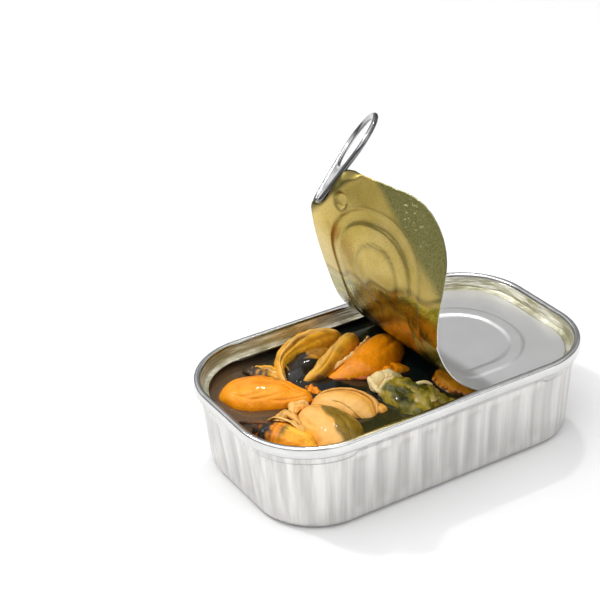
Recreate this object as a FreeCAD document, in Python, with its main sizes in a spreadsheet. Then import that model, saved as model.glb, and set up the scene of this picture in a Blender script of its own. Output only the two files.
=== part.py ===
"""Open tin of mussels in oil: an oblong ring-pull tin whose lid is torn back
from its left end and bent up, with the ring still on the raised corner.

Frame: millimetres, +Z up, origin on the floor at the middle of the tin's base,
X along the tin's length (the lid is still attached at +X), Y to the back.
All sizes are in the sheet "Sizes"; lengths that fit one another are worked out
from the same cells.
"""
import FreeCAD, Part
import math
import os
from FreeCAD import Vector, Placement, Rotation

doc = FreeCAD.newDocument("MusselTin")

# ------------------------------------------------------------------ sizes
SIZES = [
    ("tinLength", 105.0, "overall length, across the seam"),
    ("tinWidth", 60.4, "overall width, across the seam"),
    ("rimCorner", 21.0, "corner radius of the seam, outside"),
    ("tinHeight", 27.0, "floor to the top of the seam"),
    ("baseLength", 96.4, "length of the base outline"),
    ("baseWidth", 55.6, "width of the base outline"),
    ("baseCorner", 17.4, "corner radius of the base outline"),
    ("baseEdge", 2.5, "rounding between wall and bottom"),
    ("wallThick", 0.3, "drawn wall and bottom"),
    ("seamHigh", 3.2, "height of the double seam"),
    ("seamWide", 1.9, "seam, outer face to chuck wall at the top"),
    ("seamLap", 1.2, "how far the seam stands out from the wall"),
    ("neckHigh", 1.6, "band under the seam"),
    ("neckStep", 0.4, "step of that band out from the wall"),
    ("lidDepth", 4.0, "lid panel below the top of the seam"),
    ("chuckLean", 0.4, "lean of the chuck wall over its depth"),
    ("chuckGap", 0.05, "between chuck wall and tin wall"),
    ("tearLength", 97.2, "length of the torn score line"),
    ("tearWidth", 52.6, "width of the torn score line"),
    ("tearCorner", 17.0, "corner radius of the score line"),
    ("tearGap", 0.06, "width of the torn score"),
    ("sheetThick", 0.25, "lid sheet"),
    ("beadHalf", 38.3, "lid bead, half length on its middle line"),
    ("beadWide", 16.6, "lid bead, half width on its middle line"),
    ("beadBreadth", 4.4, "breadth of the bead"),
    ("beadHigh", 0.5, "rise of the bead"),
    ("wellRadius", 8.0, "finger well under the ring"),
    ("wellDeep", 0.6, "depth of the finger well"),
    ("rivetFromEnd", 9.1, "rivet to the end of the torn panel"),
    ("rivetFromSide", 12.8, "rivet to the side of the torn panel"),
    ("rivetRadius", 2.7, "rivet boss"),
    ("rivetHigh", 0.9, "rise of the rivet boss"),
    ("curlRadius", 1.6, "tight curl of the raised corner"),
    ("foldStart", 16.07, "X where the lid leaves its flat plane"),
    ("oilGap", 6.0, "oil surface below the top of the seam"),
    ("tabLength", 30.3, "ring-pull, nose to far edge of the ring"),
    ("ringRadius", 10.1, "ring of the pull, outside, along it"),
    ("ringSquash", 0.90, "width of the pull over its length scale"),
    ("ringHole", 14.6, "finger hole, along the pull"),
    ("noseRadius", 4.3, "rounded nose of the pull"),
    ("tabThick", 1.5, "rolled edge of the pull"),
    ("tabFillet", 0.55, "rounding of the rolled edge"),
    ("tongueWide", 4.6, "tongue between rivet and pull"),
    ("tongueThick", 0.5, "sheet of the tongue"),
    ("rivetHead", 2.3, "radius of the rivet's head"),
    ("musselWall", 0.25, "least space between a mussel and the tin wall"),
]
sheet = doc.addObject("Spreadsheet::Sheet", "Sizes")
for row, (alias, value, note) in enumerate(SIZES, 1):
    sheet.set("A%d" % row, alias)
    sheet.set("B%d" % row, "%g" % value)
    sheet.set("C%d" % row, note)
    sheet.setAlias("B%d" % row, alias)
doc.recompute()


def cell(alias):
    """A size from the sheet."""
    return float(sheet.get(alias))


# ------------------------------------------- outlines of the tin, as formulas
TOP = "Sizes.tinHeight - Sizes.seamHigh"            # top of the tin wall
STEP = "(Sizes.tinHeight - Sizes.seamHigh - Sizes.neckHigh)"
WALL_L = "(Sizes.tinLength - 2*Sizes.seamLap)"
WALL_W = "(Sizes.tinWidth - 2*Sizes.seamLap)"
WALL_C = "(Sizes.rimCorner - Sizes.seamLap)"
UPPER_L = "(Sizes.tinLength - 2*Sizes.seamLap - 2*Sizes.neckStep)"
UPPER_W = "(Sizes.tinWidth - 2*Sizes.seamLap - 2*Sizes.neckStep)"
UPPER_C = "(Sizes.rimCorner - Sizes.seamLap - Sizes.neckStep)"


def inside(z):
    """Length, width and corner of the tin's inside at height z (a formula),
    on the leaning part of the wall."""
    out = []
    for base, upper, n in (("Sizes.baseLength", UPPER_L, 2),
                           ("Sizes.baseWidth", UPPER_W, 2),
                           ("Sizes.baseCorner", UPPER_C, 1)):
        out.append("%s + (%s - %s)*(%s)/%s - %d*Sizes.wallThick"
                   % (base, upper, base, z, STEP, n))
    return out


def plane(body, role="XY_Plane"):
    for feature in body.Origin.OriginFeatures:
        if feature.Role == role:
            return feature


def rounded(body, name, z, length, width, corner):
    """Sketch of a rounded rectangle about the origin, parallel to XY at z."""
    sk = body.newObject("Sketcher::SketchObject", name)
    sk.AttachmentSupport = [(plane(body), "")]
    sk.MapMode = "FlatFace"
    sk.setExpression("AttachmentOffset.Base.z", z)
    a, b, r = 50.0, 28.0, 18.0
    up = Vector(0, 0, 1)
    line = lambda x1, y1, x2, y2: Part.LineSegment(Vector(x1, y1, 0), Vector(x2, y2, 0))
    arc = lambda x, y, s: Part.ArcOfCircle(Part.Circle(Vector(x, y, 0), up, r),
                                           math.radians(s), math.radians(s + 90))
    sk.addGeometry([line(r - a, -b, a - r, -b), arc(a - r, r - b, 270),
                    line(a, r - b, a, b - r), arc(a - r, b - r, 0),
                    line(a - r, b, r - a, b), arc(r - a, b - r, 90),
                    line(-a, b - r, -a, r - b), arc(r - a, r - b, 180)], False)
    C = lambda *args: Sketch_Constraint(*args)
    for i in range(8):
        sk.addConstraint(C("Tangent", i, 2, (i + 1) % 8, 1))
    sk.addConstraint([C("Horizontal", 0), C("Horizontal", 4),
                      C("Vertical", 2), C("Vertical", 6)])
    for i in (3, 5, 7):
        sk.addConstraint(C("Equal", 1, i))
    sk.addConstraint(C("Symmetric", 1, 3, 5, 3, -1, 1))
    for tag, con in (("length", C("DistanceX", 6, 1, 2, 1, 2 * a)),
                     ("width", C("DistanceY", 0, 1, 4, 2, 2 * b)),
                     ("corner", C("Radius", 1, r))):
        sk.renameConstraint(sk.addConstraint(con), tag)
    sk.setExpression("Constraints.length", length)
    sk.setExpression("Constraints.width", width)
    sk.setExpression("Constraints.corner", corner)
    return sk


import Sketcher
Sketch_Constraint = Sketcher.Constraint


def loft(body, name, sections, add=True):
    kind = "PartDesign::AdditiveLoft" if add else "PartDesign::SubtractiveLoft"
    f = body.newObject(kind, name)
    f.Profile = sections[0]
    f.Sections = sections[1:]
    f.Ruled = True
    return f


def fillet_at(body, name, base, size, pick):
    """Fillet every edge of base for which pick(edge) holds."""
    doc.recompute()
    edges = ["Edge%d" % (i + 1) for i, e in enumerate(base.Shape.Edges) if pick(e)]
    f = body.newObject("PartDesign::Fillet", name)
    f.Base = (base, edges)
    f.setExpression("Radius", size)
    return f


def flat_at(z, tol=1e-3):
    return lambda e: abs(e.BoundBox.ZMin - z) < tol and abs(e.BoundBox.ZMax - z) < tol


# ------------------------------------------------------------------ tin body
EDGE_STEPS = 5


def rising(body, tag, sink):
    """Sketches for a wall that starts flat on the floor of the tin, turns up
    round the bottom edge and leans out to the step; sink is how far all of it
    lies inside the outer skin."""
    out = []
    rad = "(Sizes.baseEdge - %s)" % sink
    for i in range(EDGE_STEPS + 1):
        a = math.pi / 2 * i / EDGE_STEPS
        z = "%s + %s*%.9f" % (sink, rad, 1 - math.cos(a))
        fall = "%s*%.9f" % (rad, 1 - math.sin(a))
        size = []
        for base, upper, n in (("Sizes.baseLength", UPPER_L, 2), ("Sizes.baseWidth", UPPER_W, 2),
                               ("Sizes.baseCorner", UPPER_C, 1)):
            size.append("%s + (%s - %s)*(%s)/%s - %d*(%s + %s)"
                        % (base, upper, base, z, STEP, n, sink, fall))
        out.append(rounded(body, "%s%d" % (tag, i), z, *size))
    return out


tin = doc.addObject("PartDesign::Body", "tin_body")
tin.Label = "tin_body"
skin = loft(tin, "Skin", rising(tin, "Skin", "0") + [
    rounded(tin, "UpperOutline", STEP, UPPER_L, UPPER_W, UPPER_C),
    rounded(tin, "NeckOutline", STEP + " + Sizes.neckStep", WALL_L, WALL_W, WALL_C),
    rounded(tin, "TopOutline", TOP, WALL_L, WALL_W, WALL_C)])
T = "Sizes.wallThick"
neck_in = [WALL_L + " - 2*" + T, WALL_W + " - 2*" + T, WALL_C + " - " + T]
hollow = loft(tin, "Hollow", rising(tin, "Inside", T) + [
    rounded(tin, "InsideUpper", STEP, *inside(STEP)),
    rounded(tin, "InsideNeck", STEP + " + Sizes.neckStep", *neck_in),
    rounded(tin, "InsideTop", TOP, *neck_in)], add=False)
doc.recompute()

# ------------------------------------------------------------------ lid ring
# Double seam, chuck wall and the ledge left outside the torn score line.
ring = doc.addObject("PartDesign::Body", "lid_ring")
ring.Label = "lid_ring"
LEDGE = "(Sizes.tinHeight - Sizes.lidDepth)"
seam_sk = rounded(ring, "SeamOutline", TOP, "Sizes.tinLength", "Sizes.tinWidth", "Sizes.rimCorner")
seam = ring.newObject("PartDesign::Pad", "Seam")
seam.Profile = seam_sk
seam.setExpression("Length", "Sizes.seamHigh")
plug = "(Sizes.seamLap + Sizes.wallThick + Sizes.chuckGap)"
plug_sk = rounded(ring, "PlugOutline", TOP, "Sizes.tinLength - 2*" + plug,
                  "Sizes.tinWidth - 2*" + plug, "Sizes.rimCorner - " + plug)
chuck = ring.newObject("PartDesign::Pad", "Chuck")
chuck.Profile = plug_sk
chuck.Reversed = True
chuck.setExpression("Length", "Sizes.lidDepth - Sizes.seamHigh + Sizes.sheetThick")
low = "(Sizes.seamWide + Sizes.chuckLean)"
well = loft(ring, "ChuckWall", [
    rounded(ring, "ChuckTop", "Sizes.tinHeight", "Sizes.tinLength - 2*Sizes.seamWide",
            "Sizes.tinWidth - 2*Sizes.seamWide", "Sizes.rimCorner - Sizes.seamWide"),
    rounded(ring, "ChuckFoot", LEDGE, "Sizes.tinLength - 2*" + low,
            "Sizes.tinWidth - 2*" + low, "Sizes.rimCorner - " + low)], add=False)
tear_sk = rounded(ring, "TearOutline", LEDGE, "Sizes.tearLength", "Sizes.tearWidth", "Sizes.tearCorner")
tear = ring.newObject("PartDesign::Pocket", "Tear")
tear.Profile = tear_sk
tear.setExpression("Length", "2*Sizes.sheetThick")
high = cell("tinHeight")
lip = fillet_at(ring, "SeamRound", tear, "0.42*Sizes.seamWide", flat_at(high))
seam_low = high - cell("seamHigh")
half_out = cell("tinLength") / 2


def seam_foot(e):
    """Edges of the seam's outer lower rim."""
    if not flat_at(seam_low)(e):
        return False
    b = e.BoundBox
    inset = cell("seamLap") * 0.5
    return not (b.XMax < half_out - inset and b.XMin > inset - half_out
                and b.YMax < cell("tinWidth") / 2 - inset and b.YMin > inset - cell("tinWidth") / 2)


ring_last = fillet_at(ring, "SeamFoot", lip, "0.3*Sizes.seamWide", seam_foot)
doc.recompute()


# ------------------------------------------------------------------ lid panel
def smooth(v):
    """0 below 0, 1 above 1, with a soft start and end."""
    v = min(1.0, max(0.0, v))
    return v * v * (3 - 2 * v)


def interp(v, xs, ys):
    if v <= xs[0]:
        return ys[0]
    for i in range(1, len(xs)):
        if v <= xs[i]:
            return ys[i - 1] + (ys[i] - ys[i - 1]) * (v - xs[i - 1]) / (xs[i] - xs[i - 1])
    return ys[-1]


class Bend:
    """The lid bent like paper: straight fold lines that fan out a little, each
    turning the sheet beyond it by a small angle. The fold lines stand on a
    straight base line in the flat lid, measured by u from where the bend
    starts; TURN is the direction of each line, KAPPA the degrees per mm."""
    STEPS = 70
    REACH = 70.0
    TURN = ((0, 14, 28, 42, 56, 70), (93.2, 88.1, 85.9, 109.3, 114.0, 118.7))
    KAPPA = ((0, 6, 12, 20, 30, 42, 56, 70), (4.57, 3.20, 2.56, 2.57, 0.10, 1.46, 1.20, 1.07))

    def __init__(self):
        self.level = cell("tinHeight") - cell("lidDepth")
        start = Vector(cell("foldStart"), -2, 0)
        corner = Vector(-cell("tearLength") / 2 + 3.6, cell("tearWidth") / 2 - 6.3, 0)
        along = (corner - start).normalize()
        du = self.REACH / (self.STEPS - 1)
        placed = Placement(Vector(0, 0, self.level), Rotation())
        self.lines = []
        self.placed = [placed]
        for i in range(self.STEPS):
            u = i * du
            turn = math.radians(interp(u, *self.TURN))
            n = Vector(-math.sin(turn), math.cos(turn), 0)
            if n.dot(along) < 0:
                n = n * -1
            base = start + along * u
            angle = interp(u, *self.KAPPA) * n.dot(along) * du
            hinge = Placement(Vector(0, 0, 0), Rotation(Vector(n.y, -n.x, 0), angle), base)
            placed = placed.multiply(hinge)
            self.lines.append((base, n))
            self.placed.append(placed)
        # the raised corner leans a little towards the tin's front left
        self.lean = Vector(-0.475, -0.768, 0.43)
        # tight curl across the tab's corner, in the flat lid
        a = Vector(-cell("tearLength") / 2 + 2.6, cell("tearWidth") / 2 - 12.3, 0)
        b = Vector(-cell("tearLength") / 2 + 15.6, cell("tearWidth") / 2 - 0.3, 0)
        self.curl_at = a
        self.curl_n = Vector(-(b - a).y, (b - a).x, 0).normalize()

    def rigid(self, p):
        k = 0
        for base, n in self.lines:
            if (p - base).dot(n) <= 0:
                break
            k += 1
        return self.placed[k]

    def __call__(self, x, y, rise):
        """Where the point (x, y) of the flat lid goes, rise above its middle."""
        p = Vector(x, y, 0)
        s = (p - self.curl_at).dot(self.curl_n)
        r = cell("curlRadius")
        lift = rise
        foot = p
        if s > 0:
            turn = min(s / r, math.radians(115))
            rest = s - r * turn
            foot = p - self.curl_n * s
            out = r * math.sin(turn) + rest * math.cos(turn) - rise * math.sin(turn)
            lift = r * (1 - math.cos(turn)) + rest * math.sin(turn) + rise * math.cos(turn)
            foot2 = foot + self.curl_n * out
        else:
            foot2 = p
        pl = self.rigid(foot)
        q = pl.multVec(Vector(foot2.x, foot2.y, lift))
        g = 11.0 * smooth((foot.y - 2) / 24.0) * smooth((-foot.x - 8) / 26.0)
        return q + self.lean * g


bend = Bend()


RIVET = (cell("rivetFromEnd") - cell("tearLength") / 2, cell("tearWidth") / 2 - cell("rivetFromSide"))


def emboss(x, y):
    """Rise of the lid's pressed pattern over its plane."""
    half, wide, breadth = cell("beadHalf"), cell("beadWide"), cell("beadBreadth")
    r = wide * 0.93
    dx, dy = abs(x) - (half - r), abs(y) - (wide - r)
    d = math.hypot(max(dx, 0), max(dy, 0)) + min(max(dx, dy), 0) - r
    rise = cell("beadHigh") * smooth(1 - abs(d) / (breadth / 2))
    wr = cell("wellRadius")
    dw = math.hypot(x + 23, y + 1.5) - wr
    rise -= cell("wellDeep") * smooth(0.5 - dw / 2.0)
    dr = math.hypot(x - RIVET[0], y - RIVET[1]) - cell("rivetRadius")
    rise += cell("rivetHigh") * smooth(0.5 - dr / 1.6)
    return rise


def clamped(a, b, n):
    """Even clamped knots of a cubic over [a, b], with n poles: the knots, their
    multiplicities and the place of each pole."""
    spans = n - 3
    knots = [a + (b - a) * i / spans for i in range(spans + 1)]
    mults = [4] + [1] * (spans - 1) + [4]
    full = [a] * 3 + knots + [b] * 3
    place = [(full[i + 1] + full[i + 2] + full[i + 3]) / 3 for i in range(n)]
    return knots, mults, place


def lid_surface(rise):
    """Smooth surface of the lid sheet, whose parameters are the flat lid's
    own millimetres."""
    ex, ey = cell("tearLength") / 2 + 1.5, cell("tearWidth") / 2 + 1.5
    nu, nv = int(2 * ex / 1.3) + 3, int(2 * ey / 1.3) + 3
    ku, mu, pu = clamped(-ex, ex, nu)
    kv, mv, pv = clamped(-ey, ey, nv)
    poles = [[bend(x, y, emboss(x, y) + rise) for y in pv] for x in pu]
    s = Part.BSplineSurface()
    s.buildFromPolesMultsKnots(poles, mu, mv, ku, kv, False, False, 3, 3)
    return s


def tear_loop(surface):
    """Edges of the torn outline on a lid surface."""
    v2 = FreeCAD.Base.Vector2d
    g = cell("tearGap")
    a, b, r = cell("tearLength") / 2 - g, cell("tearWidth") / 2 - g, cell("tearCorner") - g
    # the straight run at the back of the fold starts and ends where the arcs do
    runs = [((r - a, -b), (a - r, -b)), ((a, r - b), (a, b - r)),
            ((a - r, b), (r - a, b)), ((-a, b - r), (-a, r - b))]
    centres = [(a - r, r - b, 270), (a - r, b - r, 0), (r - a, b - r, 90), (r - a, r - b, 180)]
    edges = []
    for (p, q), (cx, cy, s) in zip(runs, centres):
        edges.append(Part.Geom2d.Line2dSegment(v2(*p), v2(*q)).toShape(surface))
        arc = Part.Geom2d.ArcOfCircle2d(Part.Geom2d.Circle2d(v2(cx, cy), r),
                                        math.radians(s), math.radians(s + 90))
        edges.append(arc.toShape(surface))
    return edges


def lid_panel():
    t = cell("sheetThick")
    faces = []
    loops = []
    for rise in (0.0, -t):
        s = lid_surface(rise)
        loop = tear_loop(s)
        loops.append(loop)
        wire = Part.Wire(loop)
        face = Part.Face(s, wire)
        faces.append(face)
    for upper, lower in zip(*loops):
        faces.append(Part.makeRuledSurface(upper, lower))
    shell = Part.makeShell(faces)
    shell.sewShape(0.01)
    solid = Part.makeSolid(shell)
    if solid.Volume < 0:
        solid.reverse()
    return solid


panel = doc.addObject("Part::Feature", "lid_panel")
panel.Label = "lid_panel"
panel.Shape = lid_panel()

# ------------------------------------------------------------------ ring-pull
tab = doc.addObject("PartDesign::Body", "pull_tab")
tab.Label = "pull_tab"


def tab_outline(body, name, z, inset):
    """Teardrop of two arcs and two straight sides, from the nose at x = 0."""
    sk = body.newObject("Sketcher::SketchObject", name)
    sk.AttachmentSupport = [(plane(body), "")]
    sk.MapMode = "FlatFace"
    sk.setExpression("AttachmentOffset.Base.z", z)
    big, small, far = 9.5, 4.2, 21.0
    up = Vector(0, 0, 1)
    a = math.acos((big - small) / (far - small))
    p = lambda c, r, t: Vector(c + r * math.cos(t), r * math.sin(t), 0)
    sk.addGeometry([Part.ArcOfCircle(Part.Circle(Vector(far, 0, 0), up, big), a - math.pi, math.pi - a),
                    Part.LineSegment(p(far, big, math.pi - a), p(small, small, math.pi - a)),
                    Part.ArcOfCircle(Part.Circle(Vector(small, 0, 0), up, small), math.pi - a, math.pi + a),
                    Part.LineSegment(p(small, small, math.pi + a), p(far, big, math.pi + a))], False)
    C = Sketcher.Constraint
    for i in range(4):
        sk.addConstraint(C("Tangent", i, 2, (i + 1) % 4, 1))
    sk.addConstraint([C("PointOnObject", 0, 3, -1), C("PointOnObject", 2, 3, -1)])
    for tag, con in (("ring", C("Radius", 0, big)), ("nose", C("Radius", 2, small)),
                     ("ringAt", C("DistanceX", -1, 1, 0, 3, far)),
                     ("noseAt", C("DistanceX", -1, 1, 2, 3, small))):
        sk.renameConstraint(sk.addConstraint(con), tag)
    ring_r = "Sizes.ringRadius*(1 + Sizes.ringSquash)/2"
    sk.setExpression("Constraints.ring", ring_r + " - " + inset)
    sk.setExpression("Constraints.nose", "Sizes.noseRadius - " + inset)
    sk.setExpression("Constraints.ringAt", "Sizes.tabLength - " + ring_r)
    sk.setExpression("Constraints.noseAt", "Sizes.noseRadius")
    return sk


tab_pad = tab.newObject("PartDesign::Pad", "Blade")
tab_pad.Profile = tab_outline(tab, "TabOutline", "0 mm", "0")
tab_pad.Midplane = True
tab_pad.setExpression("Length", "Sizes.tabThick")


def circle(body, name, radius, at):
    sk = body.newObject("Sketcher::SketchObject", name)
    sk.AttachmentSupport = [(plane(body), "")]
    sk.MapMode = "FlatFace"
    sk.addGeometry(Part.Circle(Vector(20, 0, 0), Vector(0, 0, 1), 7), False)
    C = Sketcher.Constraint
    sk.addConstraint(C("PointOnObject", 0, 3, -1))
    sk.renameConstraint(sk.addConstraint(C("DistanceX", -1, 1, 0, 3, 20)), "at")
    sk.renameConstraint(sk.addConstraint(C("Radius", 0, 7)), "size")
    sk.setExpression("Constraints.at", at)
    sk.setExpression("Constraints.size", radius)
    return sk


RING_AT = "Sizes.tabLength - Sizes.ringRadius*(1 + Sizes.ringSquash)/2"
hole = tab.newObject("PartDesign::Pocket", "FingerHole")
hole.Profile = circle(tab, "HoleCircle", "Sizes.ringHole/2*(1 + Sizes.ringSquash)/2", RING_AT)
hole.Midplane = True
hole.setExpression("Length", "3*Sizes.tabThick")
half_tab = cell("tabThick") / 2
tab_last = fillet_at(tab, "RolledEdge", hole, "Sizes.tabFillet",
                     lambda e: flat_at(half_tab)(e) or flat_at(-half_tab)(e))
doc.recompute()
# the pull stands up past its nose; its axes in the tin's frame
TAB_AXIS = Vector(0.6793, -0.0045, 0.7338)
TAB_WIDE = Vector(0.3127, 0.9065, -0.2838)
TAB_FACE = TAB_AXIS.cross(TAB_WIDE)
# from the rivet in the bent panel to the pull's nose
TAB_NOSE = bend(*RIVET, 0) + Vector(-3.439, 8.241, -4.526)
turn = FreeCAD.Matrix(TAB_AXIS.x, TAB_WIDE.x, TAB_FACE.x, 0,
                      TAB_AXIS.y, TAB_WIDE.y, TAB_FACE.y, 0,
                      TAB_AXIS.z, TAB_WIDE.z, TAB_FACE.z, 0, 0, 0, 0, 1)
tab.Placement = Placement(TAB_NOSE, Rotation(turn))


def frame_box(at, side, normal, wide, thick):
    """Closed rectangular wire about a point, across a strip."""
    s, n = side * (wide / 2), normal * (thick / 2)
    return Part.makePolygon([at - s - n, at + s - n, at + s + n, at - s + n, at - s - n])


def rivet_tongue():
    """Rivet head on the lid's outer side and the bent tongue that holds the
    pull to it."""
    t = cell("sheetThick")
    rise = emboss(*RIVET)
    base = bend(*RIVET, rise)
    out = (bend(*RIVET, rise + 1) - base).normalize()
    across = (bend(RIVET[0] + 1, RIVET[1] + 1, rise) - base).normalize()
    across = (across - out * across.dot(out)).normalize()
    head = Part.makeCylinder(cell("rivetHead"), 1.1, base + out * 0.02, out)
    land = TAB_NOSE + TAB_AXIS * 6.5 - TAB_WIDE * 0.5 + TAB_FACE * (-cell("tabThick") / 2 - 0.27)
    start = base + out * 0.75
    toward = (land - start)
    toward = (toward - out * toward.dot(out)).normalize()
    p0 = start + toward * 1.2
    p1 = start + toward * 2.6 + out * 0.2
    mid = (p1 + land) * 0.5 + out * 0.8
    pts = [p0, p1, mid, land, land + TAB_AXIS * 2.0]
    normals = [out, out, (out - TAB_FACE * 1.0).normalize(), TAB_FACE * -1, TAB_FACE * -1]
    wires = []
    for i, p in enumerate(pts):
        ahead = (pts[min(i + 1, 4)] - pts[max(i - 1, 0)]).normalize()
        side = ahead.cross(normals[i]).normalize()
        n = side.cross(ahead).normalize()
        wires.append(frame_box(p, side, n, cell("tongueWide"), cell("tongueThick")))
    strip = Part.makeLoft(wires, True, True)
    return head.fuse(strip).removeSplitter()


rivet = doc.addObject("Part::Feature", "tab_rivet")
rivet.Label = "tab_rivet"
rivet.Shape = rivet_tongue()

# ------------------------------------------------------------------ contents
OIL = cell("tinHeight") - cell("oilGap")


def spline(points, v):
    """Point at v in 0..1 on the smooth line through a list of number rows."""
    n = len(points) - 1
    f = min(max(v, 0.0), 1.0) * n
    i = min(int(f), n - 1)
    f -= i
    a = points[max(i - 1, 0)]
    b, c = points[i], points[i + 1]
    d = points[min(i + 2, n)]
    return [0.5 * (2 * q + (r - p) * f + (2 * p - 5 * q + 4 * r - s) * f * f
                   + (3 * q - p - 3 * r + s) * f ** 3) for p, q, r, s in zip(a, b, c, d)]


def tube(rows, cleft=0.0, cleft_at=90.0, square=0.0, rings=12, around=16, crease=0.0):
    """Closed soft body along a spine. Each row is x, y, height of its middle
    over the oil, half width and half height. A cleft is a furrow along it at
    the angle cleft_at (90 is the top)."""
    left = -cell("tinLength") / 2 + 52.5
    poles = []
    for i in range(rings):
        v = i / (rings - 1.0)
        x, y, z, w, h = spline(rows, v)
        x2, y2, z2 = spline(rows, min(v + 0.02, 1.0))[:3]
        x1, y1, z1 = spline(rows, max(v - 0.02, 0.0))[:3]
        ahead = Vector(x2 - x1, y2 - y1, (z2 - z1)).normalize()
        side = Vector(ahead.y, -ahead.x, 0).normalize()
        up = side.cross(ahead).normalize()
        if up.z < 0:
            up = up * -1
        end = math.sqrt(max(0.0, 1 - (2 * v - 1) ** 8))
        end = max(end, 0.12)
        row = []
        for j in range(around):
            a = 2 * math.pi * j / around
            c, s = math.cos(a), math.sin(a)
            k = 1.0 + square * (math.sin(2 * a) ** 2)
            d = (math.degrees(a) - cleft_at + 180) % 360 - 180
            k *= 1.0 - cleft * math.exp(-(d / 26.0) ** 2) * math.sin(math.pi * min(max(v, 0.08), 0.92))
            k *= 1.0 + crease * math.sin(6.0 * v * math.pi + 2 * a) * 0.5
            at = Vector(x + left, y, OIL + z)
            row.append(at + side * (w * end * k * c * 1.06) + up * (h * end * k * s * 1.06))
        poles.append(row)
    n = rings
    ku, mu, _ = clamped(0.0, 1.0, n)
    kv = [float(j) for j in range(around + 1)]
    mv = [1] * (around + 1)
    s = Part.BSplineSurface()
    s.buildFromPolesMultsKnots(poles, mu, mv, ku, kv, False, True, 3, 3)
    skin_face = s.toShape()
    caps = []
    for e in skin_face.Edges:
        if e.isClosed() and e.Curve.TypeId != "Part::GeomLine":
            c = e.CenterOfMass
            if e.Length < 0.75 * max(x.Length for x in skin_face.Edges):
                caps.append(e)
    ends = []
    for u in (0.0, 1.0):
        iso = s.uIso(u).toShape()
        ends.append(Part.Face(Part.Wire([iso])))
    shell = Part.makeShell([skin_face] + ends)
    shell.sewShape(0.01)
    solid = Part.makeSolid(shell)
    if solid.Volume < 0:
        solid.reverse()
    return solid


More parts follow.
